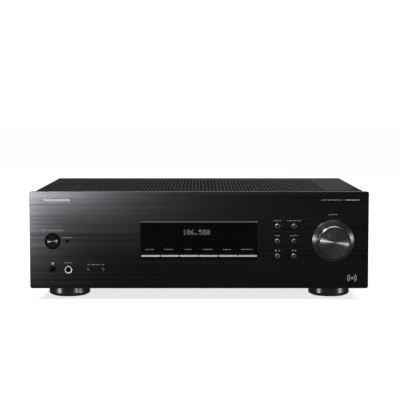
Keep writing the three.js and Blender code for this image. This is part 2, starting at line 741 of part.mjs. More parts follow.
// Mains inlet: a flanged box, open to the rear, with two blades.
function mainsInlet() {
  const { halfWidth, halfHeight, chamfer, depth, pinSpacing, flange } = INLET;
  const { halfWidth: bodyX, halfHeight: bodyZ, flangeWidth, flangeHeight } = INLET_BODY;
  const mouth = OUTSIDE + flange;
  const outline = roundedRectangle(-flangeWidth, flangeWidth, -flangeHeight, flangeHeight, 2);
  const plate = upright(outline, [], OUTSIDE, mouth);
  const body = block([-bodyX, bodyX], [mouth - depth - 2, OUTSIDE + OVERLAP], [-bodyZ, bodyZ]);
  const cavity = upright(
    [
      [-halfWidth, -halfHeight],
      [halfWidth, -halfHeight],
      [halfWidth, halfHeight - chamfer],
      [halfWidth - chamfer, halfHeight],
      [chamfer - halfWidth, halfHeight],
      [-halfWidth, halfHeight - chamfer],
    ],
    [],
    mouth - depth,
    mouth + 1,
  );
  const blade = (x) => block([x - 1, x + 1], [mouth - depth - 1, OUTSIDE - 2], [-2, 2]);
  return join(cut(join(plate, body), cavity), blade(-pinSpacing), blade(pinSpacing));
}

function addRearConnectors() {
  add("rca_jack_block", rcaJackBlock(), blackPlastic);
  add("speaker_terminal_block", speakerTerminalBlock(), blackPlastic);
  const capFront = OUTSIDE + TERMINALS.flange + GAP;
  POSTS.z.forEach((z, row) => {
    POSTS.x.forEach((x, column) => {
      const name = `speaker_post_cap_${row * POSTS.x.length + column + 1}`;
      const finish = column % 2 ? redPlastic : blackPlastic;
      const cap = flutedCap(POSTS.cap, POSTS.root, POSTS.capBore, capFront, REAR_Y + POST_REACH);
      add(name, cap, finish, x, 0, z);
    });
  });
  const { cap, root, stud, capFront: earthFront, capBack: earthBack } = EARTH;
  const earthCap = flutedCap(cap, root, stud + 0.4, REAR_Y + earthFront, REAR_Y + earthBack);
  add("earth_cap", earthCap, nickel, EARTH.x, 0, EARTH.z);
  add("aerial_socket", aerialSocket(), nickel, AERIAL.x, 0, AERIAL.z);
  add("mains_inlet", mainsInlet(), blackPlastic, INLET.x, 0, INLET.z);
}

// ---------------------------------------------------------------- inside

// Laminated core with two windows, on its mounting plate.
function transformerCore() {
  const { limb, stack, height, bottom, foot: footHalf, plate } = TRANSFORMER;
  const base = bottom + plate;
  const windowSpan = [base + limb, base + height - limb];
  const windows = [rectangle(-2 * limb, -limb, ...windowSpan), rectangle(limb, 2 * limb, ...windowSpan)];
  const outline = rectangle(-3 * limb, 3 * limb, base - OVERLAP, base + height);
  const core = upright(outline, windows, -stack, stack);
  return join(core, block([-footHalf, footHalf], [-stack, stack], [bottom, base]));
}

// The coil round the core's middle limb.
function transformerWinding() {
  const { limb, stack, height, bottom, plate } = TRANSFORMER;
  const base = bottom + plate;
  const outerX = 2 * limb - GAP;
  const outerY = stack + limb;
  const outline = roundedRectangle(-outerX, outerX, -outerY, outerY, limb / 2);
  const hole = rectangle(-limb - GAP, limb + GAP, -stack - GAP, stack + GAP);
  return level(outline, [hole], base + limb + GAP, base + height - limb - GAP);
}

// One extrusion: a base plate with a comb of fins behind it.
function heatSink() {
  const { x0, x1, y, base, fin, finThick, fins, bottom, top } = HEAT_SINK;
  const root = y + base;
  const tip = root + fin;
  const pitch = (x1 - x0 - finThick) / (fins - 1);
  const comb = Array.from({ length: fins }, (_, i) => x1 - pitch * i).flatMap((x) => [
    [x, root],
    [x, tip],
    [x - finThick, tip],
    [x - finThick, root],
  ]);
  return level([[x0, y], [x1, y], ...comb.slice(1, -1)], [], bottom, top);
}

// Output transistors in a row, held to the heat sink by one clamp bar.
function outputTransistors() {
  const { x: places, half, bottom, top, thick } = TRANSISTORS;
  const back = HEAT_SINK.y - GAP;
  const front = back - thick;
  const packages = places.map((x) => block([x - half, x + half], [front, back], [bottom, top]));
  const legs = places.map((x) => {
    const spanX = [x - half + 2, x + half - 2];
    return block(spanX, [back - 3, back - 2], [MAIN_BOARD_TOP + GAP, bottom + OVERLAP]);
  });
  const clamp = block([places[0] - 12, places.at(-1) + 12], [front - 1.5, front + OVERLAP], [50, 58]);
  return join(...packages, ...legs, clamp);
}

// A circuit board on square posts, given its outline and the places of its posts.
function boardOnPosts([x0, x1, y0, y1], posts) {
  const half = 3;
  const board = level(rectangle(x0, x1, y0, y1), [], MAIN_BOARD_Z, MAIN_BOARD_TOP);
  const pillars = posts.map(([x, y]) =>
    block([x - half, x + half], [y - half, y + half], [PAN_FLOOR + GAP, MAIN_BOARD_Z + OVERLAP]),
  );
  return join(board, ...pillars);
}

// A boxed part standing on a board: its corner, its footprint and its height.
const onBoard = (x, y, width, depth, height) =>
  block([x, x + width], [y, y + depth], [MAIN_BOARD_TOP - OVERLAP, MAIN_BOARD_TOP + height]);

// Main amplifier board, with its small capacitors, relays and the ribbon's connector.
function amplifierBoard() {
  const posts = [[-74, -86], [190, -86], [-74, 112], [190, 112], [60, 10]];
  const can = (x, y) =>
    rod(5, 0, 16, SIDES.least).rotateX(Math.PI / 2).translate(x, y, MAIN_BOARD_TOP - OVERLAP);
  const canPlaces = [[110, 20], [110, 45], [150, 20], [150, 45], [-50, 0], [-30, 0]];
  return join(
    boardOnPosts([-80, 196, -92, 120], posts),
    ...canPlaces.map(([x, y]) => can(x, y)),
    ...[-46, -10, 26].map((x) => onBoard(x, 96, 20, 16, 18)),
    onBoard(CONNECTOR.left, -72, CONNECTOR.right - CONNECTOR.left, 6, CONNECTOR.height),
  );
}

// Standby supply and mains filter board beside the inlet.
function powerBoard() {
  const posts = [[-198, 36], [-98, 36], [-198, 118], [-98, 118]];
  return join(
    boardOnPosts([-204, -92, 30, 124], posts),
    onBoard(-190, 80, 24, 22, 22), // line choke
    onBoard(-158, 104, 26, 8, 9), // fuse
    onBoard(-150, 50, 34, 30, 28), // standby transformer
    onBoard(-192, 44, 24, 14, 16), // filter capacitor
  );
}

function filterCapacitor() {
  const { radius, height } = CAPACITOR;
  const edge = 1.5;
  const profile = [[0, 0], [radius, 0], [radius, edge - height], [radius - edge, -height], [0, -height]];
  return turned(profile, 20).rotateX(-Math.PI / 2).translate(0, 0, MAIN_BOARD_TOP + GAP);
}

// Input board upright behind the phono sockets.
function inputBoard() {
  const back = INSIDE - RCA_HOUSING.depth - GAP;
  return upright(rectangle(56, 160, 34, 116), [], back - BOARD.thick, back);
}

function tunerModule() {
  const { x0, x1, front, back, bottom, top } = TUNER;
  const tabEnd = INSIDE - AERIAL.housing - GAP;
  const tab = block([x0 + 20, x1 - 8], [back - OVERLAP, tabEnd], [bottom + 10, top - 8]);
  return join(block([x0, x1], [front, back], [bottom, top]), tab);
}

// Flat cable that drops from the control board to the amplifier board in one smooth curve.
function ribbonCable() {
  const startY = BOARD.front + BOARD.thick + CONNECTOR.reach + GAP;
  const endZ = MAIN_BOARD_TOP + CONNECTOR.height + GAP + RIBBON.thick;
  const line = Array.from({ length: RIBBON.steps + 1 }, (_, i) => {
    const t = i / RIBBON.steps;
    const drop = t * t * (3 - 2 * t);
    return [startY + (RIBBON.rearY - startY) * t, RIBBON.frontZ + (endZ - RIBBON.frontZ) * drop];
  });
  const underside = line.map(([y, z]) => [y, z - RIBBON.thick]);
  return lengthwise([...underside, ...line.reverse()], RIBBON.x0, RIBBON.x1);
}

function addInside() {
  const { x, y } = TRANSFORMER;
  add("transformer_core", transformerCore(), laminations, x, y);
  add("transformer_winding", transformerWinding(), copperWinding, x, y);
  add("heat_sink", heatSink(), castAluminium);
  add("output_transistors", outputTransistors(), blackPlastic);
  add("amplifier_board", amplifierBoard(), circuitBoard);
  add("filter_capacitor_left", filterCapacitor(), capacitorSleeve, CAPACITOR.x[0], CAPACITOR.y);
  add("filter_capacitor_right", filterCapacitor(), capacitorSleeve, CAPACITOR.x[1], CAPACITOR.y);
  add("power_board", powerBoard(), circuitBoard);
  add("input_board", inputBoard(), circuitBoard);
  add("tuner_module", tunerModule(), plainSteel);
  add("ribbon_cable", ribbonCable(), ribbonPlastic);
}

addFront();
addCase();
addRearConnectors();
addInside();

export default receiver;
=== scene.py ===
"""Looks of the stereo receiver: materials, fine surfaces, fasteners, printed marks, lights and camera.

Every length is in metres. MM turns a size given in millimetres into metres. Places come from the packed
"""

import math

import bmesh
import bpy
from mathutils import Matrix, Vector


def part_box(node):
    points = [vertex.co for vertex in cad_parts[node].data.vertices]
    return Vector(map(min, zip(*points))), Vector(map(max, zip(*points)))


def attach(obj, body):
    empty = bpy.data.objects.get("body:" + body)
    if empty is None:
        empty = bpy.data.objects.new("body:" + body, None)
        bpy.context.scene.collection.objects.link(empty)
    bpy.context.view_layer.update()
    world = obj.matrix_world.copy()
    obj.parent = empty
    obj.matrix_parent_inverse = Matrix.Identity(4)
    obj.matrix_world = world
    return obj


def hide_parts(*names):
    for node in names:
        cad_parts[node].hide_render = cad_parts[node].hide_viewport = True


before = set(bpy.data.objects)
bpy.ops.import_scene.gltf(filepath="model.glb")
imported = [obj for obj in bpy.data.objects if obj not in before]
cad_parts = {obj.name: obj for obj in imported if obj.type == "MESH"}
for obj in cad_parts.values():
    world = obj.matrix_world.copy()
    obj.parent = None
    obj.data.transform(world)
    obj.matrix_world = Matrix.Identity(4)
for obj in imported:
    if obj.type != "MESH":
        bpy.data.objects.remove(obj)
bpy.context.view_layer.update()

MM = 0.001
ROUND = 96  # facets of a large round surface
SMALL_ROUND = 40  # facets of a small one
QUARTER = 0.25  # of a turn
WELD = 0.001 * MM  # points closer than this are one
STATIC = "receiver"  # the body that stays still


# ---- places taken from the frame


def low(node):
    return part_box(node)[0]


def high(node):
    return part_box(node)[1]


def middle(node):
    return (low(node) + high(node)) / 2


def front_middle(node):
    """The middle of a node's front face."""
    return (middle(node).x, low(node).y, middle(node).z)


def size_of(node):
    return high(node) - low(node)


FACE = low("front_panel").y  # the panel's front face
PANEL_LOW, PANEL_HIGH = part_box("front_panel")
COVER_LOW, COVER_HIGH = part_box("top_cover")
REAR = COVER_HIGH.y - 1.3 * MM  # the rear panel's outer face
POST_PLATE = REAR + 3.5 * MM  # the outer face of the plate that holds the speaker posts


# ---- node materials


FACTOR_SPAN = (0.3, 0.7)  # where most of a texture's values lie


def preset(node, inputs):
    """Sets some of a node's inputs, by name."""
    for name, value in inputs.items():
        node.inputs[name].default_value = value


class Material:
    """A Principled material, with short calls for the procedural detail that drives it."""

    def __init__(self, name, color, roughness, metallic=0.0, specular=0.5):
        self.data = bpy.data.materials.new(name)
        self.data.use_nodes = True
        self.nodes = self.data.node_tree.nodes
        self.link = self.data.node_tree.links.new
        self.shader = next(n for n in self.nodes if n.type == "BSDF_PRINCIPLED")
        self.last_normal = None
        self.set({"Base Color": (*color, 1), "Roughness": roughness})
        self.set({"Metallic": metallic, "Specular IOR Level": specular})

    def set(self, inputs):
        preset(self.shader, inputs)

    def add(self, kind, inputs=None, **settings):
        node = self.nodes.new(kind)
        for key, value in settings.items():
            setattr(node, key, value)
        preset(node, inputs or {})
        return node

    def texture(self, kind, inputs, stretch=(1, 1, 1), output="Fac", **settings):
        """A texture in object coordinates, stretched along each axis."""
        node = self.add(kind, inputs, **settings)
        place = self.add("ShaderNodeTexCoord")
        mapping = self.add("ShaderNodeMapping", {"Scale": stretch})
        self.link(place.outputs["Object"], mapping.inputs["Vector"])
        self.link(mapping.outputs["Vector"], node.inputs["Vector"])
        return node.outputs[output]

    def noise(self, scale, stretch=(1, 1, 1), detail=2.0, rough=0.5):
        inputs = {"Scale": scale, "Detail": detail, "Roughness": rough}
        return self.texture("ShaderNodeTexNoise", inputs, stretch)

    def waves(self, scale, direction="X", distortion=0.0):
        inputs = {"Scale": scale, "Distortion": distortion}
        return self.texture("ShaderNodeTexWave", inputs, bands_direction=direction)

    def rings(self, scale, distortion=0.0):
        """Concentric lines about the piece's own Y axis."""
        inputs = {"Scale": scale, "Distortion": distortion}
        return self.texture("ShaderNodeTexWave", inputs, wave_type="RINGS", rings_direction="Y")

    def vary_color(self, factor, dark, light):
        """Colour runs from dark to light across the factor's usual span."""
        ramp = self.add("ShaderNodeValToRGB")
        for stop, position, color in zip(ramp.color_ramp.elements, FACTOR_SPAN, (dark, light)):
            stop.position = position
            stop.color = (*color, 1)
        self.link(factor, ramp.inputs["Fac"])
        self.link(ramp.outputs["Color"], self.shader.inputs["Base Color"])

    def vary_roughness(self, factor, smooth, rough):
        start, end = FACTOR_SPAN
        inputs = {"From Min": start, "From Max": end, "To Min": smooth, "To Max": rough}
        span = self.add("ShaderNodeMapRange", inputs)
        self.link(factor, span.inputs["Value"])
        self.link(span.outputs["Result"], self.shader.inputs["Roughness"])

    def bump(self, factor, height, strength=1.0):
        """Adds a relief of this height, in metres, to what is there already."""
        node = self.add("ShaderNodeBump", {"Strength": strength, "Distance": height})
        self.link(factor, node.inputs["Height"])
        if self.last_normal:
            self.link(self.last_normal, node.inputs["Normal"])
        self.last_normal = node.outputs["Normal"]
        self.link(self.last_normal, self.shader.inputs["Normal"])

    def turned(self):
        """Draws highlights out across fine lines about the piece's own Y axis."""
        tangent = self.add("ShaderNodeTangent", direction_type="RADIAL", axis="Y")
        self.link(tangent.outputs["Tangent"], self.shader.inputs["Tangent"])
        self.set({"Anisotropic": 1.0, "Anisotropic Rotation": QUARTER})


def grey(value, blue=0.0):
    return (value, value, value * (1 + blue))


PANEL_ROUGHNESS = 0.204


def brushed_panel():
    """Black anodised sheet, brushed along its length: fine straight streaks with a slight blue cast."""
    m = Material("brushed black aluminium", grey(0.08, 0.08), PANEL_ROUGHNESS, metallic=1.0)
    streaks = m.noise(820, stretch=(0.0025, 1, 1), detail=2, rough=0.6)
    m.vary_color(streaks, grey(0.046, 0.09), grey(0.114, 0.07))
    polish = m.noise(900, stretch=(0.06, 1, 1), detail=3)
    m.vary_roughness(polish, PANEL_ROUGHNESS * 0.98, PANEL_ROUGHNESS * 1.02)
    m.bump(m.noise(1100, stretch=(0.02, 1, 1), detail=1), 0.004 * MM, 0.1)
    return m.data


def painted_edge_highlight():
    """The sheet's edge, in a metal a little brighter than its face: a painted highlight in place of the light
    the edge catches.
    """
    m = Material("black aluminium edge with painted highlight", grey(0.2, 0.1), 0.35, metallic=1.0)
    m.vary_color(m.noise(900, stretch=(0.05, 1, 1), detail=3), grey(0.16, 0.1), grey(0.24, 0.1))
    m.bump(m.noise(1500, stretch=(0.1, 1, 1), detail=2), 0.01 * MM, 0.4)
    return m.data


def turned_metal(name, color, roughness):
    """A face turned on a lathe: fine concentric lines that gather the light into a bow tie."""
    m = Material(name, color, roughness, metallic=1.0)
    m.turned()
    m.bump(m.rings(900, distortion=0.6), 0.004 * MM, 0.35)
    m.vary_color(m.noise(260, detail=3), [c * 0.9 for c in color], [min(1, c * 1.1) for c in color])
    return m.data


def satin_metal(name, color, roughness, grain=0.004 * MM):
    m = Material(name, color, roughness, metallic=1.0)
    m.vary_roughness(m.noise(60, detail=3), roughness * 0.88, roughness * 1.12)
    m.bump(m.noise(1400, detail=2), grain, 0.4)
    return m.data


def moulded_plastic(name, color, roughness, grain, specular=0.4):
    """Moulded plastic with a fine spark-eroded texture and a little unevenness in its shine."""
    m = Material(name, color, roughness, specular=specular)
    m.vary_roughness(m.noise(45, detail=3), roughness * 0.85, min(1, roughness * 1.15))
    m.bump(m.noise(1800, detail=3, rough=0.65), grain, 0.5)
    m.bump(m.noise(14, detail=1), 0.05 * MM, 0.15)
    return m.data


def powder_coat():
    """Satin black powder coat: a close pebbled skin over the sheet."""
    m = Material("black powder coat", grey(0.021), 0.62, specular=0.2)
    m.vary_color(m.noise(30, detail=3), grey(0.018), grey(0.024))
    m.vary_roughness(m.noise(300, detail=2), 0.56, 0.7)
    m.bump(m.noise(1100, detail=2, rough=0.55), 0.03 * MM, 0.6)
    return m.data


def zinc_sheet():
    """Zinc-plated steel: pale, with a rolled grain."""
    m = Material("zinc plated steel", grey(0.50, 0.02), 0.36, metallic=1.0)
    grain = m.noise(500, stretch=(0.05, 1, 1), detail=2)
    m.vary_color(m.noise(25, detail=4), grey(0.42, 0.02), grey(0.56, 0.02))
    m.vary_roughness(grain, 0.3, 0.44)
    m.bump(grain, 0.01 * MM, 0.4)
    return m.data


def smoked_window():
    """Smoked acrylic: mostly dark, polished, with the display showing through."""
    m = Material("smoked acrylic", grey(0.002), 0.06, specular=0.4)
    m.set({"Alpha": 0.72})
    m.bump(m.noise(18, detail=1), 0.02 * MM, 0.1)
    m.vary_roughness(m.noise(90, detail=2), 0.05, 0.08)
    return m.data


def display_glass():
    """The dark glass front of the dot display, with the faint grid of its cells."""
    m = Material("display glass", grey(0.004, 0.1), 0.15, specular=0.1)
    grid = m.waves(160, "X")
    m.vary_color(grid, grey(0.003, 0.1), grey(0.007, 0.2))
    m.bump(grid, 0.01 * MM, 0.2)
    return m.data


def glowing_dots():
    m = Material("glowing display dots", grey(0.3, 0.08), 0.5)
    m.set({"Emission Color": (0.80, 0.90, 1.0, 1), "Emission Strength": 3.4})
    m.vary_color(m.noise(500, detail=2), grey(0.25, 0.1), grey(0.35, 0.1))
    return m.data


def ink(name, value):
    """Screen-printed ink, very slightly uneven."""
    m = Material(name, grey(value), 0.5, specular=0.3)
    m.vary_color(m.noise(900, detail=2), grey(value * 0.9), grey(value * 1.08))
    m.bump(m.noise(2500, detail=1), 0.004 * MM, 0.3)
    return m.data


def circuit_board():
    """Green solder mask over a pattern of tracks."""
    m = Material("circuit board", (0.02, 0.09, 0.03), 0.42)
    tracks = m.texture("ShaderNodeTexVoronoi", {"Scale": 160}, output="Distance", distance="MANHATTAN")
    m.vary_color(tracks, (0.030, 0.14, 0.045), (0.012, 0.06, 0.02))
    m.bump(tracks, 0.05 * MM, 0.4)
    return m.data


def lamination_stack():
    """Varnished steel sheets on edge."""
    m = Material("lamination stack", grey(0.05), 0.45, metallic=0.8)
    sheets = m.waves(320, "Y")
    m.vary_color(sheets, grey(0.025), grey(0.09))
    m.bump(sheets, 0.1 * MM, 0.6)
    return m.data


def wound_wire():
    """Enamelled wire, wound layer on layer."""
    m = Material("wound wire", (0.36, 0.14, 0.04), 0.32, metallic=0.9)
    turns = m.waves(260, "Z", distortion=0.8)
    m.vary_color(turns, (0.16, 0.05, 0.015), (0.5, 0.22, 0.07))
    m.bump(turns, 0.25 * MM, 0.8)
    return m.data


def shrink_sleeve():
    """Heat-shrunk sleeve of a capacitor."""
    m = Material("shrink sleeve", (0.012, 0.02, 0.06), 0.3)
    m.vary_color(m.noise(40, detail=3), (0.010, 0.016, 0.05), (0.016, 0.026, 0.075))
    m.bump(m.noise(90, stretch=(1, 1, 0.2), detail=3), 0.2 * MM, 0.3)
    return m.data


def ribbon_insulation():
    """Side-by-side conductors in pale insulation."""
    m = Material("ribbon insulation", grey(0.52), 0.5)
    cores = m.waves(250, "X")
    m.vary_color(cores, grey(0.40), grey(0.58))
    m.bump(cores, 0.3 * MM, 0.7)
    return m.data


def rubber():
    m = Material("black rubber", grey(0.018), 0.8, specular=0.25)
    m.vary_roughness(m.noise(120, detail=3), 0.72, 0.88)
    m.bump(m.noise(700, detail=3), 0.05 * MM, 0.5)
    return m.data


PANEL_METAL = brushed_panel()
# A brighter copy of the panel metal: painted highlight for the panel's edge.
PANEL_EDGE_HIGHLIGHT = painted_edge_highlight()
DISC_METAL = turned_metal("turned disc", grey(0.36), 0.36)
CAP_METAL = turned_metal("turned cap", grey(0.1), 0.38)
KNOB_METAL = satin_metal("dark satin knob", grey(0.2, 0.03), 0.28)
# A brighter copy of the knob's metal: painted highlight for its front chamfer.
CHAMFER_HIGHLIGHT = satin_metal("knob chamfer with painted highlight", grey(0.45, 0.02), 0.26)
KEY_METAL = satin_metal("dark satin key", grey(0.24, 0.03), 0.36)
KEY_RIM = satin_metal("bright key rim", grey(0.55, 0.02), 0.3)
SPEAKER_KEY_RIM = satin_metal("dim key rim", grey(0.14, 0.02), 0.5)
SPEAKER_KEY_METAL = satin_metal("darker satin key", grey(0.1, 0.03), 0.5)
FOOT_METAL = satin_metal("dark polished foot", grey(0.16, 0.03), 0.28)
SILVER = satin_metal("satin silver", grey(0.9), 0.36)
BRIGHT = satin_metal("nickel plate", grey(0.62), 0.3)
RING = satin_metal("bright ring", grey(0.92), 0.58)
BADGE = satin_metal("bright badge", grey(0.17), 0.45)
GOLD = satin_metal("gold plate", (0.72, 0.50, 0.18), 0.24)
FRAME_METAL = satin_metal("display frame", grey(0.12, 0.05), 0.36)
CAST = satin_metal("extruded aluminium", grey(0.46), 0.45, 0.02 * MM)
SCREW_METAL = satin_metal("black oxide screw", grey(0.05), 0.38)
BLACK = moulded_plastic("black plastic", grey(0.009), 0.5, 0.02 * MM, specular=0.25)
GLOSS = moulded_plastic("gloss black plastic", grey(0.005), 0.3, 0.004 * MM, specular=0.3)
RED = moulded_plastic("red plastic", (0.36, 0.012, 0.015), 0.3, 0.01 * MM)
WHITE = moulded_plastic("white plastic", grey(0.62), 0.35, 0.01 * MM)
COAT = powder_coat()
ZINC = zinc_sheet()
WINDOW = smoked_window()
TUBE_GLASS = display_glass()
DOTS = glowing_dots()
PRINT = ink("grey print", 0.34)
BRIGHT_PRINT = ink("light print", 0.5)
BOARD = circuit_board()
STACK = lamination_stack()
WIRE = wound_wire()
SLEEVE = shrink_sleeve()
RIBBON = ribbon_insulation()
RUBBER = rubber()

# The slot name that goes with each rear cap's material.
SLOT_OF = {BLACK.name: "black_plastic", RED.name: "red_plastic", BRIGHT.name: "bright_metal"}


# ---- meshes


def make(name, bm, *materials, smooth=35):
    """An object from a bmesh, smooth-shaded except where faces meet at more than this angle in degrees."""
    mesh = bpy.data.meshes.new(name)
    bmesh.ops.recalc_face_normals(bm, faces=bm.faces)
    bm.to_mesh(mesh)
    bm.free()
    for material in materials:
        mesh.materials.append(material)
    mesh.shade_smooth()
    mesh.set_sharp_from_angle(angle=math.radians(smooth))
    piece = bpy.data.objects.new(name, mesh)
    bpy.context.scene.collection.objects.link(piece)
    return piece


def place(piece, body, slot, replaced=()):
    """Lets a finished piece ride on a body and hides the CAD nodes that it stands for. The slot is not used.
    """
    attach(piece, body)
    if replaced:
        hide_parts(*replaced)


def bevel(piece, width, segments=2, angle=30):
    modifier = piece.modifiers.new("edges", "BEVEL")
    modifier.width = width
    modifier.segments = segments
    modifier.limit_method = "ANGLE"
    modifier.angle_limit = math.radians(angle)
    modifier.harden_normals = True


def turns(sides):
    """Angles all the way round."""
    return [2 * math.pi * i / sides for i in range(sides)]


def add_lathe(bm, profile, center, axis="Y", sides=ROUND):
    """A turned solid. Its (radius, distance along the axis) pairs close at the axis or at their start."""
    closed = profile[0][0] > 0
    rings = []
    for radius, along in profile:
        count = 1 if radius == 0 else sides
        ring = []
        for angle in turns(sides)[:count]:
            u = radius * math.cos(angle)
            v = radius * math.sin(angle)
            offset = Vector((u, along, v)) if axis == "Y" else Vector((u, v, along))
            ring.append(bm.verts.new(Vector(center) + offset))
        rings.append(ring)
    pairs = list(zip(rings, rings[1:]))
    if closed:
        pairs.append((rings[-1], rings[0]))
    for a, b in pairs:
        for i in range(sides):
            j = (i + 1) % sides
            corners = [a[i % len(a)], a[j % len(a)], b[j % len(b)], b[i % len(b)]]
            unique = list(dict.fromkeys(corners))
            if len(unique) > 2:
                bm.faces.new(unique)


def lathe(name, profile, center, material, axis="Y", sides=ROUND):
    """A turned piece whose own origin is on its axis, so that turned lines run round it."""
    bm = bmesh.new()
    add_lathe(bm, profile, (0, 0, 0), axis, sides)
    piece = weigh_normals(make(name, bm, material))
    piece.location = center
    return piece


def weigh_normals(piece):
    """Lets the large faces set the shading, so that a flat face stays flat beside a rounded edge."""
    weights = piece.modifiers.new("normals", "WEIGHTED_NORMAL")
    weights.keep_sharp = True
    weights.weight = 100
    return piece


def add_box(bm, lowest, highest):
    cube = bmesh.ops.create_cube(bm, size=1)
    span = Vector(highest) - Vector(lowest)
    mid = (Vector(highest) + Vector(lowest)) / 2
    bmesh.ops.transform(bm, matrix=Matrix.Translation(mid) @ Matrix.Diagonal((*span, 1)), verts=cube["verts"])


def add_prism(bm, section, x0, x1):
    """A (y, z) outline run along X."""
    ends = [[bm.verts.new((x, y, z)) for y, z in section] for x in (x0, x1)]
    count = len(section)
    bm.faces.new(ends[0])
    bm.faces.new(list(reversed(ends[1])))
    for i in range(count):
        j = (i + 1) % count
        bm.faces.new((ends[0][i], ends[1][i], ends[1][j], ends[0][j]))


def in_metres(pairs):
    """Pairs of numbers given in millimetres."""
    return [(a * MM, b * MM) for a, b in pairs]


def circle(x, z, radius, sides=SMALL_ROUND):
    return [(x + radius * math.cos(a), z + radius * math.sin(a)) for a in turns(sides)]


def rectangle(x0, x1, z0, z1, radius=0.0, steps=6):
    """A rectangle, with round corners where a radius is given."""
    if radius == 0:
        return [(x0, z0), (x1, z0), (x1, z1), (x0, z1)]
    left, right, bottom, top = x0 + radius, x1 - radius, z0 + radius, z1 - radius
    centers = (right, top), (left, top), (left, bottom), (right, bottom)
    points = []
    for quarter, (cx, cz) in enumerate(centers):
        for i in range(steps + 1):
            angle = math.pi / 2 * (quarter + i / steps)
            points.append((cx + radius * math.cos(angle), cz + radius * math.sin(angle)))
    return points


def around(lowest, highest, gap=0.0, radius=0.0, steps=6):
    """The outline of a box seen from the front, wider than the box by a gap on every side."""
    return rectangle(lowest.x - gap, highest.x + gap, lowest.z - gap, highest.z + gap, radius, steps)


def plate_mesh(outlines, y0, y1, edge=0.0):
    """Outlines in XZ, filled by the even-odd rule, given thickness from y0 to y1 and a broken edge."""
    curve = bpy.data.curves.new("outline", "CURVE")
    curve.dimensions = "2D"
    curve.fill_mode = "BOTH"
    curve.extrude = (y1 - y0) / 2 - edge
    curve.bevel_depth = edge
    curve.bevel_resolution = 0
    curve.offset = -edge
    for index, outline in enumerate(outlines):
        points = outline if index == 0 else list(reversed(outline))
        spline = curve.splines.new("POLY")
        spline.points.add(len(points) - 1)
        for point, (x, z) in zip(spline.points, points):
            point.co = (x, z, 0, 1)
        spline.use_cyclic_u = True
    holder = bpy.data.objects.new("outline", curve)
    bpy.context.scene.collection.objects.link(holder)
    bpy.context.view_layer.update()
    evaluated = holder.evaluated_get(bpy.context.evaluated_depsgraph_get())
    mesh = bpy.data.meshes.new_from_object(evaluated)
    bpy.data.objects.remove(holder)
    bpy.data.curves.remove(curve)
    mesh.transform(Matrix.Translation((0, (y0 + y1) / 2, 0)) @ Matrix.Rotation(math.pi / 2, 4, "X"))
    return mesh


def add_plate(bm, outlines, y0, y1, edge=0.0):
    mesh = plate_mesh(outlines, y0, y1, edge)
    before = len(bm.verts)
    bm.from_mesh(mesh)
    bm.verts.ensure_lookup_table()
    bmesh.ops.remove_doubles(bm, verts=bm.verts[before:], dist=WELD)
    bpy.data.meshes.remove(mesh)


def plate(name, outlines, y0, y1, material, edge=0.0):
    bm = bmesh.new()
    add_plate(bm, outlines, y0, y1, edge)
    return weigh_normals(make(name, bm, material, smooth=25))


def paint(piece, index, test):
    """Gives one of a piece's materials to the faces that pass a test."""
    for face in piece.data.polygons:
        if test(face):
            face.material_index = index


def reach(face):
    """How far the middle of a turned piece's face is from the axis."""
    return math.hypot(face.center.x, face.center.z)


# ---- front panel and what comes through it

ROUND_KEYS = [f"function_key_{i}" for i in range(1, 7)]
SPEAKER_KEYS = ["speaker_key_a", "speaker_key_b"]
BAR_KEYS = [f"input_key_{i}" for i in range(1, 7)]
COLLAR_OVERHANG = 0.9 * MM  # how much wider a key's hidden collar is than its cap
KEY_GAP = 0.3 * MM
CORNER = 3 * MM  # radius of the panel's and moulding's corners
SENSOR_HOLE = 2.1 * MM
PORTABLE_HOLE = 4.2 * MM
TRAY_WALL = 2.5 * MM
JACK_Z = 38.6 * MM  # height of the headphone sockets
JACK_BODY_Y = -131.2 * MM  # where the sockets' bodies begin, behind the moulding's wall


def key_radius(node):
    return size_of(node).x / 2 - COLLAR_OVERHANG


def hole(node, radius, sides=SMALL_ROUND):
    """A round hole in line with a node."""
    return circle(middle(node).x, middle(node).z, radius, sides)


def key_holes():
    return [hole(node, key_radius(node) + KEY_GAP) for node in ROUND_KEYS + SPEAKER_KEYS]


def front_panel():
    """The brushed plate, with a crisp broken edge round its outline and every hole."""
    outlines = [
        around(PANEL_LOW, PANEL_HIGH, radius=CORNER, steps=8),
        hole("power_button", 10.0 * MM, sides=64),
        hole("sensor_window", SENSOR_HOLE),
        circle(middle("portable_jack").x, JACK_Z, PORTABLE_HOLE),
        circle(middle("phones_jack").x, JACK_Z, 5.75 * MM, sides=56),
        hole("volume_knob", 5.5 * MM),
        around(*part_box("display_bezel"), KEY_GAP),
        *key_holes(),
    ]
    piece = plate("front_plate", outlines, PANEL_LOW.y, PANEL_HIGH.y, PANEL_METAL, 0.35 * MM)
    piece.data.materials.append(PANEL_EDGE_HIGHLIGHT)

    def on_rim(face):
        x, z = abs(face.center.x), face.center.z
        return min(PANEL_HIGH.x - x, PANEL_HIGH.z - z, z - PANEL_LOW.z) < MM and abs(face.normal.y) < 0.95

    # Painted highlight: the outer rim's edge faces take a brighter copy of the panel metal.
    paint(piece, 1, on_rim)
    place(piece, STATIC, "black_aluminium", ["front_panel"])


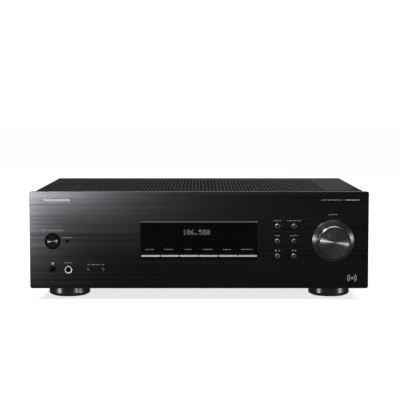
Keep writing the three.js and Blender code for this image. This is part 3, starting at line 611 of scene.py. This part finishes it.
def front_tray():
    """The moulding behind the panel: front wall, rim, and the raised collar round the power button."""
    tray_low, tray_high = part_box("front_tray")
    panel_back = high("front_panel").y + KEY_GAP
    wall_back = panel_back + TRAY_WALL
    power = middle("power_button")
    outline = around(tray_low, tray_high, radius=CORNER, steps=8)
    inner = around(tray_low, tray_high, -TRAY_WALL)
    keys_low, keys_high = low(BAR_KEYS[0]), high(BAR_KEYS[-1])
    holes = [
        hole("power_button", 7.8 * MM, sides=64),
        hole("sensor_window", SENSOR_HOLE),
        circle(middle("portable_jack").x, JACK_Z, PORTABLE_HOLE),
        circle(middle("phones_jack").x, JACK_Z, 5.7 * MM),
        hole("volume_knob", 4.8 * MM),
        around(*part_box("display_window"), -MM),
        rectangle(keys_low.x - KEY_GAP, keys_high.x + KEY_GAP, keys_low.z + 1.1 * MM, keys_high.z - 0.9 * MM),
        *key_holes(),
    ]
    bm = bmesh.new()
    add_plate(bm, [outline, *holes], panel_back, wall_back, 0.2 * MM)
    add_plate(bm, [outline, inner], wall_back - 0.01 * MM, tray_high.y, 0.2 * MM)
    foot, top = wall_back / MM, tray_low.y / MM
    collar = [(7.8, foot), (9.7, foot), (9.7, top + 0.5), (9.2, top), (8.3, top), (7.8, top + 0.5)]
    add_lathe(bm, in_metres(collar), (power.x, 0, power.z), sides=72)
    place(make("front_moulding", bm, BLACK), STATIC, "black_plastic", ["front_tray"])


def display_bezel():
    """Five bars round the window and keys. The top bar leans back, so it catches the light from above."""
    bezel_low, bezel_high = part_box("display_bezel")
    window_low, window_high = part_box("display_window")
    top_edge = window_high.z + KEY_GAP
    middle_low = high(BAR_KEYS[0]).z - 0.9 * MM
    middle_high = window_low.z - KEY_GAP
    seam = 0.02 * MM
    lean = 1.3 * MM
    side = 0.7 * MM
    front, back = bezel_low.y, bezel_high.y
    bm = bmesh.new()
    slope = [
        (front, top_edge), (back, top_edge), (back, bezel_high.z), (front + lean, bezel_high.z),
        (front, bezel_high.z - 1.4 * MM),
    ]
    add_prism(bm, slope, bezel_low.x, bezel_high.x)
    for x0 in (bezel_low.x, bezel_high.x - side):
        add_box(bm, (x0, front, bezel_low.z), (x0 + side, back, top_edge - seam))
    x0, x1 = bezel_low.x + side + seam, bezel_high.x - side - seam
    add_box(bm, (x0, front, middle_low), (x1, back, middle_high))
    add_box(bm, (x0, front, bezel_low.z), (x1, back, bezel_low.z + side))
    piece = make("display_surround", bm, FRAME_METAL, GLOSS)

    def glossy(face):
        leaning = face.normal.y < -0.3 and face.normal.z > 0.3
        outer_side = abs(face.center.x) > bezel_high.x - side - seam
        return not (leaning or outer_side)

    paint(piece, 1, glossy)
    bevel(piece, 0.12 * MM)
    place(piece, STATIC, "gloss_black", ["display_bezel"])


def display_window():
    window_low, window_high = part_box("display_window")
    outline = around(window_low, window_high)
    piece = plate("window_pane", [outline], window_low.y, window_high.y, WINDOW, 0.15 * MM)
    place(piece, STATIC, "smoked_window", ["display_window"])


# Dots of each character on a five by seven grid, one string for each row from the top.
GLYPHS = {
    "0": ("01110", "10001", "10011", "10101", "11001", "10001", "01110"),
    "1": ("00100", "01100", "00100", "00100", "00100", "00100", "01110"),
    "5": ("11111", "10000", "11110", "00001", "00001", "10001", "01110"),
    "6": ("00110", "01000", "10000", "11110", "10001", "10001", "01110"),
    ".": ("00000", "00000", "00000", "00000", "00000", "01100", "01100"),
}


def display_characters():
    """A number in lit dots, just ahead of the display's glass."""
    text = "106.500"
    dot_x, dot_z = 0.7 * MM, 0.78 * MM
    step_x, step_z = 0.82 * MM, 0.94 * MM
    advance = 5.1 * MM
    middle_x, bottom_z = -2.9 * MM, 83.2 * MM
    front = low("display_tube").y
    left = middle_x - advance * len(text) / 2
    bm = bmesh.new()
    for index, letter in enumerate(text):
        for row, bits in enumerate(GLYPHS[letter]):
            for column, bit in enumerate(bits):
                if bit == "1":
                    x = left + index * advance + column * step_x
                    z = bottom_z + (6 - row) * step_z
                    add_box(bm, (x, front - 0.12 * MM, z), (x + dot_x, front - 0.02 * MM, z + dot_z))
    place(make("display_characters", bm, DOTS), STATIC, "display_glass")


def bar_keys():
    """Silver sloping top, dark upright front, and a small break along every edge."""
    for number, node in enumerate(BAR_KEYS, 1):
        key_low, key_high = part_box(node)
        bottom, top = key_low.z + 1.4 * MM, key_high.z - 1.2 * MM
        front, back = key_low.y, key_high.y
        slope_foot = bottom + 2.5 * MM
        bm = bmesh.new()
        section = [
            (front, bottom), (back - MM, bottom), (back - MM, key_low.z), (back, key_low.z),
            (back, key_high.z), (back - MM, key_high.z), (back - MM, top), (front + 2.4 * MM, top),
            (front, slope_foot),
        ]
        add_prism(bm, section, key_low.x, key_high.x)
        piece = make(f"bar_key_{number}", bm, GLOSS, SILVER)
        paint(piece, 1, lambda face: face.normal.z > 0.4 and face.normal.y < -0.4)
        bevel(piece, 0.15 * MM)
        place(piece, node, "silver_plastic", [node])


def round_key(node, name, recess, material, chamfer):
    """A turned key: a shallow dish, a chamfer that catches the light, and a dark shoulder."""
    radius = key_radius(node)
    depth = size_of(node).y
    hidden = radius + COLLAR_OVERHANG
    profile = [
        (0, recess), (radius * 0.4, recess * 0.8), (radius * 0.58, 0.05 * MM), (radius * 0.64, 0),
        (radius * 0.88, radius * 0.18), (radius * 0.97, radius * 0.3), (radius, radius * 0.42),
        (radius, depth - MM), (hidden, depth - MM), (hidden, depth), (0, depth),
    ]
    piece = lathe(name, profile, front_middle(node), material, sides=SMALL_ROUND)
    darken_outside(piece, radius * 0.92)
    piece.data.materials.append(chamfer)
    paint(piece, 2, lambda f: radius * 0.66 < reach(f) < radius * 0.92 and f.center.y < radius * 0.3)
    place(piece, node, "gloss_black", [node])


def darken_outside(piece, radius):
    """Gives gloss black to the faces of a turned piece that lie beyond this radius."""
    piece.data.materials.append(GLOSS)
    paint(piece, 1, lambda face: reach(face) > radius)


def round_keys():
    for number, node in enumerate(ROUND_KEYS, 1):
        round_key(node, f"round_key_{number}", 0.25 * MM, KEY_METAL, KEY_RIM)
    for node in SPEAKER_KEYS:
        name = node.replace("speaker_key", "speaker_button")
        round_key(node, name, 0.12 * MM, SPEAKER_KEY_METAL, SPEAKER_KEY_RIM)


def power_button():
    """Brushed cap in a dark shoulder."""
    depth = size_of("power_button").y / MM
    profile = [
        (0, 0.2), (5.9, 0.1), (6.2, 0), (6.5, 0.02), (6.9, 0.2), (7.2, 0.5), (7.4, 1.0), (7.4, depth - 1),
        (8.3, depth - 1), (8.3, depth), (0, depth),
    ]
    piece = lathe("power_cap", in_metres(profile), front_middle("power_button"), CAP_METAL, sides=72)
    darken_outside(piece, 6.55 * MM)
    place(piece, "power_button", "turned_aluminium", ["power_button"])


def volume_knob():
    """Skirt, bevel, barrel and front chamfer, hollow from behind, with the turned disc set in. The chamfer's
    brighter metal is a painted highlight, in place of a stronger light.
    """
    center = middle("volume_knob")
    profile = [
        (0, -18.4), (18.7, -18.4), (18.85, -18.6), (18.95, -19.8), (19.2, -20), (19.5, -19.95), (20.5, -18.9),
        (20.7, -18.4), (20.7, -6.7), (20.9, -6.3), (21.6, -6.1), (26.6, -3.0), (26.9, -2.7), (27, -2.3),
        (27, -1.2), (26.8, -1), (23.8, -1), (17.5, -2.6), (17.5, -15.2), (6.5, -15.2), (6.5, -1), (3.3, -1),
        (3.3, -14), (0, -14),
    ]
    origin = (center.x, FACE, center.z)
    knob = lathe("knob_body", in_metres(profile), origin, KNOB_METAL, sides=144)
    knob.data.materials.append(CHAMFER_HIGHLIGHT)
    # Painted highlight: the front chamfer takes a brighter copy of the knob's metal.
    paint(knob, 1, lambda face: face.center.y < -18.5 * MM and reach(face) > 19.4 * MM)
    place(knob, "volume_control", "turned_aluminium", ["volume_knob"])
    disc_profile = [(0, -19.55), (17.9, -19.55), (18.4, -19.3), (18.5, -19.0), (18.5, -18.7), (0, -18.7)]
    disc = lathe("knob_face", in_metres(disc_profile), origin, DISC_METAL, sides=144)
    place(disc, "volume_control", "turned_aluminium", ["volume_knob_disc"])


def jacks():
    """The headphone socket with its bright ring, and the small black socket beside it."""
    for node, name, nose, bore, material, slot in (
        ("phones_jack", "phones_nose", 5.4, 3.25, RING, "bright_metal"),
        ("portable_jack", "portable_nose", 3.9, 1.8, BLACK, "black_plastic"),
    ):
        front = low(node).y
        rim = [
            (bore, 9.0), (bore, 0.4), (bore + 0.1, 0.1), (bore + 0.3, 0), (nose - 0.55, 0),
            (nose - 0.45, 0.1), (nose - 0.1, 0.35), (nose, 0.6), (nose, 9.0),
        ]
        bm = bmesh.new()
        add_lathe(bm, in_metres(rim), (0, 0, 0), sides=56)
        half_x = size_of(node).x / 2
        length = high(node).y - front
        back_wall = length - 2 * MM
        outline = rectangle(-half_x, half_x, low(node).z - JACK_Z, high(node).z - JACK_Z, 0.6 * MM, 3)
        add_plate(bm, [outline, circle(0, 0, bore * MM)], JACK_BODY_Y - front, back_wall, 0.2 * MM)
        add_plate(bm, [outline], back_wall + 0.01 * MM, length, 0.2 * MM)
        piece = make(name, bm, material, BLACK)
        paint(piece, 1, lambda face: face.center.y >= 0.08 * MM or reach(face) >= (nose - 0.4) * MM)
        piece.location = (middle(node).x, front, JACK_Z)
        place(piece, STATIC, slot, [node])


def name_badge():
    """A plain bright pill with a broken edge."""
    badge_low, badge_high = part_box("name_badge")
    half = (badge_high.z - badge_low.z) / 2
    outline = around(badge_low, badge_high, radius=half, steps=12)
    piece = plate("plain_badge", [outline], badge_low.y, FACE, BADGE, 0.3 * MM)
    place(piece, STATIC, "bright_metal", ["name_badge"])


# ---- printed marks

INK = 0.04 * MM  # thickness of a print


def add_dashes(bm, x0, x1, z, height, y, step=2.0 * MM, outward=-1):
    """A row of short dashes in place of a printed word, on a face at y that looks outward along Y."""
    count = max(2, round((x1 - x0) / step))
    pitch = (x1 - x0) / count
    for i in range(count):
        width = pitch * (0.66 if i % 3 else 0.5)
        left = x0 + i * pitch
        outline = rectangle(left, left + width, z - height / 2, z + height / 2, height * 0.3, 3)
        add_plate(bm, [outline], min(y, y + outward * INK), max(y, y + outward * INK))


def add_words(bm, words, y, outward=-1):
    """Dashes in place of words, given in millimetres by their start, end, height above the table and size."""
    for x0, x1, z, size in words:
        add_dashes(bm, x0 * MM, x1 * MM, z * MM, size * MM, y, outward=outward)


def add_sign(bm, points):
    """A filled outline printed on the panel."""
    add_plate(bm, [points], FACE - INK, FACE)


def arc_band(cx, cz, radius, width, start, stop, steps=14):
    """A band of this width along an arc, with angles in degrees."""
    angles = [math.radians(start + (stop - start) * i / steps) for i in range(steps + 1)]
    outer, inner = [
        [(cx + r * math.cos(a), cz + r * math.sin(a)) for a in angles]
        for r in (radius + width / 2, radius - width / 2)
    ]
    return outer + inner[::-1]


def panel_print():
    """Grey marks on the panel: dashes for words, and plain signs."""
    bm = bmesh.new()
    words = [
        (-195.2, -174.1, 89.4, 1.3), (-174.9, -163.4, 80.1, 1.0), (-173.5, -163.5, 47.6, 1.0),
        (-139.8, -126.7, 45.2, 1.0), (95.1, 105.4, 101.9, 1.0), (113.2, 130.6, 101.9, 1.0),
        (97.6, 103.9, 82.7, 1.0), (116.5, 127.4, 82.7, 1.0), (165.6, 177.7, 109.8, 1.2),
        (156.5, 184.6, 128.5, 1.1),
    ]
    add_words(bm, words, FACE)
    add_sign(bm, arc_band(-199.6 * MM, 89.4 * MM, 1.3 * MM, 0.5 * MM, 120, 420))
    add_sign(bm, rectangle(-199.85 * MM, -199.35 * MM, 89.5 * MM, 91.3 * MM))
    add_sign(bm, rectangle(-189.8 * MM, -186.6 * MM, 45.3 * MM, 48.1 * MM, 0.6 * MM, 4))
    for x in (-142.6, -123.8):
        add_sign(bm, circle(x * MM, 45.2 * MM, 0.8 * MM, 20))
    signs = [
        [(97.4, 62.4), (99.4, 62.4), (99.4, 64.4), (97.4, 64.4)],
        [(102.2, 62.3), (104.4, 63.4), (102.2, 64.5)],
        [(120.8, 62.3), (120.8, 64.5), (118.6, 63.4)],
        [(123.0, 62.3), (125.2, 63.4), (123.0, 64.5)],
    ]
    for sign in signs:
        add_sign(bm, in_metres(sign))
    place(make("panel_marks", bm, PRINT), STATIC, "bright_metal")


def bright_marks():
    """The brighter marks: a bolder row of dashes at the top right, and radio waves at the bottom right."""
    bm = bmesh.new()
    add_dashes(bm, 186.9 * MM, 205.8 * MM, 128.5 * MM, 1.7 * MM, FACE, step=2.4 * MM)
    cx, cz = 196.5 * MM, 28.0 * MM
    add_sign(bm, circle(cx, cz, 1.1 * MM, 24))
    for radius in (3.2, 5.6):
        for start in (-50, 130):
            add_sign(bm, arc_band(cx, cz, radius * MM, 0.8 * MM, start, start + 100))
    place(make("bright_marks", bm, BRIGHT_PRINT), STATIC, "bright_metal")


def window_print():
    """A short row of dashes over each bar key, printed on the window."""
    bm = bmesh.new()
    spans = [(-69.4, -57.9), (-45.1, -33.0), (-18.1, -9.2), (4.9, 18.0), (30.9, 41.2), (53.9, 69.2)]
    add_words(bm, [(x0, x1, 65.0, 0.9) for x0, x1 in spans], low("display_window").y)
    place(make("window_marks", bm, PRINT), STATIC, "bright_metal")


# ---- case

COLUMNS, ROWS = 68, 13  # of slots in the cover
CELL_X, CELL_Y = 4.8 * MM, 16 * MM  # from one slot to the next
SLOT_HALF_X, SLOT_HALF_Y = 1.2 * MM, 6.6 * MM


def slot_outline(cx, cy):
    """Right half and left half of a round-ended slot, each from its lower to its upper end."""
    straight = SLOT_HALF_Y - SLOT_HALF_X
    steps = 5
    right = []
    for start, end_y in ((-math.pi / 2, cy - straight), (0, cy + straight)):
        for i in range(steps + 1):
            angle = start + math.pi / 2 * i / steps
            right.append((cx + SLOT_HALF_X * math.cos(angle), end_y + SLOT_HALF_X * math.sin(angle)))
    left = [(2 * cx - x, y) for x, y in right]
    return right, left


def top_cover():
    """One folded sheet with its full punched pattern, a rolled bend down each side, and a rear lip."""
    z = COVER_HIGH.z
    bend = 1.5 * MM
    flat = COVER_HIGH.x - bend
    front, back = COVER_LOW.y, COVER_HIGH.y
    margin = 12 * MM
    bend_steps = 8
    x0 = -COLUMNS * CELL_X / 2
    y0 = front + margin
    x1, y1 = -x0, y0 + ROWS * CELL_Y
    bm = bmesh.new()
    corner_at = {}

    def point(x, y, height=z):
        key = (round(x, 7), round(y, 7), round(height, 7))
        if key not in corner_at:
            corner_at[key] = bm.verts.new(key)
        return corner_at[key]

    for column in range(COLUMNS):
        for row in range(ROWS):
            left, right = x0 + column * CELL_X, x0 + (column + 1) * CELL_X
            near, far = y0 + row * CELL_Y, y0 + (row + 1) * CELL_Y
            cx, cy = (left + right) / 2, (near + far) / 2
            right_half, left_half = slot_outline(cx, cy)
            right_corners = (cx, near), (right, near), (right, far), (cx, far)
            left_corners = (cx, far), (left, far), (left, near), (cx, near)
            bm.faces.new([point(x, y) for x, y in (*right_corners, *reversed(right_half))])
            bm.faces.new([point(x, y) for x, y in (*left_corners, *left_half)])
    halves, rows = range(2 * COLUMNS + 1), range(ROWS + 1)
    near_line, far_line = [[point(x0 + i * CELL_X / 2, y) for i in halves] for y in (y0, y1)]
    left_line, right_line = [[point(x, y0 + j * CELL_Y) for j in rows] for x in (x0, x1)]
    bm.faces.new([point(-flat, front), point(flat, front)] + near_line[::-1])
    bm.faces.new([point(flat, back), point(-flat, back)] + far_line)
    bm.faces.new([point(-flat, back), point(-flat, front)] + left_line)
    bm.faces.new([point(flat, front), point(flat, back)] + right_line[::-1])
    for sign in (-1, 1):
        strip = [(sign * flat, z)]
        for i in range(1, bend_steps + 1):
            angle = math.pi / 2 * i / bend_steps
            strip.append((sign * (flat + bend * math.sin(angle)), z - bend + bend * math.cos(angle)))
        strip.append((sign * COVER_HIGH.x, COVER_LOW.z))
        for (xa, za), (xb, zb) in zip(strip, strip[1:]):
            corners = (xa, front, za), (xb, front, zb), (xb, back, zb), (xa, back, za)
            bm.faces.new([point(*corner) for corner in corners])
    lip_low = z - 13 * MM
    lip = (-flat, back, z), (flat, back, z), (flat, back, lip_low), (-flat, back, lip_low)
    bm.faces.new([point(*corner) for corner in lip])
    bm.normal_update()
    piece = make("slotted_cover", bm, COAT)
    if piece.data.polygons[0].normal.z < 0:
        piece.data.flip_normals()
    sheet = piece.modifiers.new("sheet", "SOLIDIFY")
    sheet.thickness = MM
    sheet.offset = -1
    sheet.use_even_offset = True
    place(piece, STATIC, "painted_steel", ["top_cover"])


def feet():
    """Turned feet with a polished side, a rounded lower edge and a rubber sole."""
    for node in ("foot_front_left", "foot_front_right", "foot_rear_left", "foot_rear_right"):
        top = size_of(node).z / MM
        profile = [
            (0, top), (25.5, top), (25.9, top - 0.4), (25.94, top - 0.8), (26.96, 4.6), (27, 4.2),
            (26.75, 3.0), (26.1, 2.0), (25.2, 1.35), (24.2, 1.0), (23.4, 1.0), (23.4, 1.4), (0, 1.4),
        ]
        below = (middle(node).x, middle(node).y, 0)
        shell = lathe(f"{node}_shell", in_metres(profile), below, FOOT_METAL, "Z")
        place(shell, STATIC, "gloss_black", [node])
        sole = [(0, 0), (22.2, 0), (22.7, 0.3), (22.8, 1.38), (0, 1.38)]
        pad = lathe(f"{node}_sole", in_metres(sole), below, RUBBER, "Z")
        place(pad, STATIC, "gloss_black")


# ---- fluted caps at the rear


def fluted_cap(node, name, material, bore, root):
    """A knurled nut: soft flutes round a turned body, with rounded ends and an open bore."""
    outer = size_of(node).x / 2 / MM
    depth = size_of(node).y / MM
    rings = [
        (bore, 0.5), (bore + 0.4, 0), (root - 0.8, 0), (root - 0.1, 0.5), (outer, 1.1), (outer, depth - 1.1),
        (root - 0.1, depth - 0.5), (root - 0.8, depth), (bore + 0.4, depth), (bore, depth - 0.5),
    ]
    sides = 120
    flutes = 20
    bm = bmesh.new()
    loops = []
    for radius, along in rings:
        loop = []
        for angle in turns(sides):
            dip = (outer - root) * (0.5 - 0.5 * math.cos(flutes * angle)) if radius == outer else 0
            out = (radius - dip) * MM
            loop.append(bm.verts.new((out * math.cos(angle), along * MM, out * math.sin(angle))))
        loops.append(loop)
    for a_loop, b_loop in zip(loops, loops[1:] + loops[:1]):
        for i in range(sides):
            j = (i + 1) % sides
            bm.faces.new((a_loop[i], a_loop[j], b_loop[j], b_loop[i]))
    piece = make(name, bm, material, smooth=50)
    piece.location = front_middle(node)
    place(piece, node, SLOT_OF[material.name], [node])


def rear_caps():
    for number in range(1, 9):
        color = BLACK if number % 2 else RED
        fluted_cap(f"speaker_post_cap_{number}", f"binding_cap_{number}", color, bore=3.5, root=5.4)
    fluted_cap("earth_cap", "earth_nut", BRIGHT, bore=2.2, root=4.5)


# ---- rear marks and screws

# Columns and rows of the rear connectors, in millimetres.
POST_X = (-39, -20, -1, 18)
POST_Z = (58, 82)
RCA_X = (68, 88, 108, 128, 148)
RCA_Z = (88, 104)


def rear_print():
    """Dashes and plain signs beside the rear connectors."""
    bm = bmesh.new()
    words = [(x - 8, x + 8, 112.5, 1.6) for x in RCA_X] + [
        (60, 156, 78.5, 1.2), (178, 198, 123.5, 1.6), (180, 196, 50.5, 1.4), (-50, -14, 101.5, 1.8),
        (-6, 30, 101.5, 1.8), (-194, -166, 65.5, 1.6), (-60, -20, 28, 2.2), (90, 150, 28, 1.6),
    ]
    add_words(bm, words, REAR, outward=1)
    for z in (80.5, 110):
        add_plate(bm, [rectangle(57 * MM, 159 * MM, z * MM, (z + 0.4) * MM)], REAR, REAR + INK)
    away = 9.2
    for index, x in enumerate(POST_X):
        for z in (POST_Z[0] - away, POST_Z[1] + away):
            flat = rectangle((x - 1.6) * MM, (x + 1.6) * MM, (z - 0.3) * MM, (z + 0.3) * MM)
            add_plate(bm, [flat], POST_PLATE, POST_PLATE + INK)
            if index % 2:
                upright = rectangle((x - 0.3) * MM, (x + 0.3) * MM, (z - 1.6) * MM, (z + 1.6) * MM)
                add_plate(bm, [upright], POST_PLATE, POST_PLATE + INK * 1.2)
    place(make("rear_marks", bm, PRINT), STATIC, "bright_metal")


def screw_mesh():
    """A low pan head with a cross recess, standing up from z = 0."""
    bm = bmesh.new()
    arm, tip = 0.42 * MM, 1.7 * MM
    cross = [
        (arm, arm), (arm, tip), (-arm, tip), (-arm, arm), (-tip, arm), (-tip, -arm),
        (-arm, -arm), (-arm, -tip), (arm, -tip), (arm, -arm), (tip, -arm), (tip, arm),
    ]
    add_plate(bm, [circle(0, 0, 3.1 * MM, 32), cross], -1.6 * MM, -0.7 * MM, 0.3 * MM)
    add_plate(bm, [circle(0, 0, 3.2 * MM, 32)], -0.71 * MM, 0, 0.1 * MM)
    bmesh.ops.transform(bm, matrix=Matrix.Rotation(-math.pi / 2, 4, "X"), verts=bm.verts)
    pattern = make("screw_pattern", bm, SCREW_METAL, smooth=30)
    mesh = pattern.data
    bpy.data.objects.remove(pattern)
    return mesh


def screws():
    """Case screws in the cover's sides, along its rear lip, in the rear panel and under the pan."""
    mesh = screw_mesh()
    side, rear_lip, under = COVER_HIGH.x, COVER_HIGH.y, low("chassis_pan").z
    on_rear = (-203, 30), (-72, 30), (75, 30), (203, 30), (-156, 48), (-203, 118), (203, 84)
    backward, downward = (0, 1, 0), (0, 0, -1)
    spots = [((sign * side, y * MM, 24 * MM), (sign, 0, 0)) for sign in (-1, 1) for y in (-78, 96)]
    spots += [((x * MM, rear_lip, 132.5 * MM), backward) for x in (-196, -98, 0, 98, 196)]
    spots += [((x * MM, REAR, z * MM), backward) for x, z in on_rear]
    spots += [((-10.5 * MM, POST_PLATE, 70 * MM), backward)]
    spots += [((x * MM, y * MM, under), downward) for x in (-186, -110) for y in (-80, -10)]
    spots += [((x * MM, 56 * MM, under), downward) for x in (-50, 50)]
    for number, (position, direction) in enumerate(spots, 1):
        piece = bpy.data.objects.new(f"screw_{number:02d}", mesh)
        bpy.context.scene.collection.objects.link(piece)
        turn = Matrix.Rotation(0.7 * number, 4, "Z")  # no two stop at the same angle
        facing = Vector(direction).to_track_quat("Z", "Y").to_matrix().to_4x4()
        piece.matrix_world = Matrix.Translation(position) @ facing @ turn
        place(piece, STATIC, "plain_steel")


# ---- what stays as the CAD made it

KEPT = (
    (ZINC, ("chassis_pan", "tuner_module")),
    (COAT, ("rear_panel",)),
    (TUBE_GLASS, ("display_tube",)),
    (GLOSS, ("sensor_window",)),
    (BRIGHT, ("volume_shaft", "volume_encoder", "aerial_socket")),
    (BOARD, ("control_board", "amplifier_board", "power_board", "input_board")),
    (STACK, ("transformer_core",)),
    (WIRE, ("transformer_winding",)),
    (CAST, ("heat_sink",)),
    (SLEEVE, ("filter_capacitor_left", "filter_capacitor_right")),
    (RIBBON, ("ribbon_cable",)),
    (BLACK, ("output_transistors", "rca_jack_block", "speaker_terminal_block", "mains_inlet")),
)


def near_axis(spots, radius):
    """A test: is a face's middle within this many millimetres of one of these axes along Y?"""
    def test(center):
        return any(math.hypot(center.x - x * MM, center.z - z * MM) < radius * MM for x, z in spots)
    return test


on_posts = near_axis([(x, z) for x in POST_X for z in POST_Z], 3.3)
on_rca_shells = near_axis([(x, z) for x in RCA_X for z in RCA_Z], 4.3)
on_upper_rings = near_axis([(x, RCA_Z[1]) for x in RCA_X], 5.9)
on_lower_rings = near_axis([(x, RCA_Z[0]) for x in RCA_X], 5.9)
on_earth_stud = near_axis([(188, 60)], 3.0)
on_blades = near_axis([(-187, 48), (-173, 48)], 4.2)

# Second and later materials of a node, each with a test of a face's middle.
PAINTED = {
    "rca_jack_block": [
        (GOLD, lambda c: on_rca_shells(c) and c.y > REAR + 1.5 * MM),
        (WHITE, lambda c: on_upper_rings(c) and not on_rca_shells(c) and c.y > REAR + 0.2 * MM),
        (RED, lambda c: on_lower_rings(c) and not on_rca_shells(c) and c.y > REAR + 0.2 * MM),
    ],
    "speaker_terminal_block": [(BRIGHT, lambda c: on_posts(c) and c.y > REAR + 3.6 * MM)],
    "rear_panel": [(BRIGHT, lambda c: on_earth_stud(c) and c.y > REAR + 0.3 * MM)],
    "mains_inlet": [(BRIGHT, lambda c: on_blades(c) and REAR - 11 * MM < c.y < REAR + 1 * MM)],
    "filter_capacitor_left": [(CAST, lambda c: c.z > high("filter_capacitor_left").z - 0.4 * MM)],
    "filter_capacitor_right": [(CAST, lambda c: c.z > high("filter_capacitor_right").z - 0.4 * MM)],
}


def dress(node, material):
    """Gives a node its materials, and breaks its edges."""
    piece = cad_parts[node]
    piece.data.materials.clear()
    piece.data.materials.append(material)
    for index, (extra, test) in enumerate(PAINTED.get(node, []), 1):
        piece.data.materials.append(extra)
        paint(piece, index, lambda face: test(face.center))
    weld = piece.modifiers.new("weld", "WELD")
    weld.merge_threshold = WELD
    bevel(piece, 0.15 * MM, segments=1, angle=40)


def dress_kept_nodes():
    for material, nodes in KEPT:
        for node in nodes:
            dress(node, material)


# ---- camera, floor and lights

BACKDROP = 1.05  # what the camera sees behind the object
ROOM = 0.09  # what polished pieces reflect of the room
CEILING = 1.8
LIT_TABLE = 0.76  # how brightly the table glows by itself
CAMERA_AT = Vector((1.1 * MM, -1704.8 * MM, 251.2 * MM))
TILT = math.radians(4.483)
LENS = 110.32  # focal length in millimetres


def camera():
    data = bpy.data.cameras.new("camera")
    data.lens = LENS
    data.sensor_width = 36
    data.clip_end = 50
    view = bpy.data.objects.new("camera", data)
    view.location = CAMERA_AT
    view.rotation_euler = (math.pi / 2 - TILT, 0, 0)
    bpy.context.scene.collection.objects.link(view)
    bpy.context.scene.camera = view


def floor():
    """A pale lit table. Polished pieces reflect the dark room rather than it."""
    bm = bmesh.new()
    bmesh.ops.create_grid(bm, x_segments=1, y_segments=1, size=12)
    material = Material("pale floor", grey(0.86), 0.7, specular=0.1)
    material.vary_color(material.noise(3, detail=2), grey(0.85), grey(0.87))
    material.set({"Emission Color": (1, 1, 1, 1), "Emission Strength": LIT_TABLE})
    ground = make("floor", bm, material.data)
    ground.visible_glossy = False


def softbox(name, position, target, width, height, radiance, spread=180):
    """A rectangular light facing a target, given by how bright its face is."""
    data = bpy.data.lights.new(name, "AREA")
    data.shape = "RECTANGLE"
    data.size = width
    data.size_y = height
    data.energy = radiance * math.pi * width * height
    data.spread = math.radians(spread)
    light = bpy.data.objects.new(name, data)
    light.location = position
    light.rotation_euler = (Vector(target) - Vector(position)).to_track_quat("-Z", "Y").to_euler()
    light.visible_camera = False
    bpy.context.scene.collection.objects.link(light)
    return light


def studio_world():
    """A dark room with a broad pale ceiling. Seen directly, the background is plain white."""
    world = bpy.data.worlds.new("studio")
    bpy.context.scene.world = world
    world.use_nodes = True
    nodes, links = world.node_tree.nodes, world.node_tree.links
    seen = nodes["Background"]
    preset(seen, {"Color": (1, 1, 1, 1), "Strength": BACKDROP})
    direction = nodes.new("ShaderNodeTexCoord")
    split = nodes.new("ShaderNodeSeparateXYZ")
    rise = nodes.new("ShaderNodeMapRange")
    rise.interpolation_type = "SMOOTHSTEP"
    start, end = [math.sin(math.radians(angle)) for angle in (60, 80)]
    preset(rise, {"From Min": start, "From Max": end, "To Min": ROOM, "To Max": CEILING})
    links.new(direction.outputs["Generated"], split.inputs[0])
    links.new(split.outputs["Z"], rise.inputs["Value"])
    lit = nodes.new("ShaderNodeBackground")
    links.new(rise.outputs["Result"], lit.inputs["Strength"])
    path = nodes.new("ShaderNodeLightPath")
    mix = nodes.new("ShaderNodeMixShader")
    links.new(path.outputs["Is Camera Ray"], mix.inputs[0])
    links.new(lit.outputs[0], mix.inputs[1])
    links.new(seen.outputs[0], mix.inputs[2])
    links.new(mix.outputs[0], nodes["World Output"].inputs["Surface"])


def wearing(*materials):
    """The mesh objects that have one of some materials."""
    return [piece for piece in bpy.data.objects
            if piece.type == "MESH" and any(slot.material in materials for slot in piece.material_slots)]


def flag(light, pieces, state="INCLUDE"):
    """Keeps a light to some pieces, or with EXCLUDE off them, as a studio's flags and grids do."""
    group = bpy.data.collections.new(light.name + " reach")
    for piece in pieces:
        group.objects.link(piece)
    for member in group.collection_objects:
        member.light_linking.link_state = state
    light.light_linking.receiver_collection = group


def lights():
    """Soft lights, most of them kept to the pieces that are to show their reflection."""
    studio_world()
    panel = wearing(PANEL_METAL)
    front = panel + wearing(RING, BADGE, SPEAKER_KEY_METAL)
    disc = wearing(DISC_METAL)
    left_strip = softbox("left strip", (-1.30, -0.90, 0.12), (-0.1, -0.1, 0.05), 0.3, 0.2, 12.5)
    right_strip = softbox("right strip", (1.38, -0.72, 0.12), (0.1, -0.1, 0.05), 0.3, 0.2, 10.5)
    upper_left = softbox("upper left softbox", (-0.85, -0.35, 1.4), (0, -0.1, 0.08), 0.3, 0.3, 27)
    top_edge = softbox(
        "top edge light", (-0.310, -0.90, 0.191), (0.209, -0.14, 0.874), 0.030, 0.074, 1082.7, 98.4)
    left_edge = softbox(
        "left edge light", (-0.466, -0.90, 0.071), (-0.426, -0.14, 0.733), 0.120, 0.030, 388.6, 99.7)
    knob = softbox("knob light", (-0.42, -0.90, 0.07), (0.172, -0.16, 0.076), 0.1, 0.05, 180)
    button = softbox("button light", (0.14, -0.94, 0.02), (-0.188, -0.143, 0.0755), 0.08, 0.05, 335)
    foot = softbox("foot light", (0.80, -1.13, 0.12), (-0.172, -0.119, 0.008), 0.2, 0.2, 8)
    softbox("rear softbox", (0.9, 1.3, 1.2), (0, 0.1, 0.08), 0.8, 0.8, 5)
    flag(left_strip, panel, "EXCLUDE")
    flag(right_strip, panel + disc, "EXCLUDE")
    flag(upper_left, panel, "EXCLUDE")
    flag(top_edge, front)
    flag(left_edge, front)
    flag(knob, disc)
    flag(button, wearing(CAP_METAL))
    flag(foot, [bpy.data.objects["foot_front_left_shell"]])


bpy.context.scene.view_settings.view_transform = "Standard"
for build in (
    front_panel, front_tray, display_bezel, display_window, display_characters, bar_keys, round_keys,
    power_button, volume_knob, jacks, name_badge, panel_print, bright_marks, window_print, top_cover, feet,
    rear_caps, rear_print, screws, dress_kept_nodes, camera, floor, lights,
):
    build()
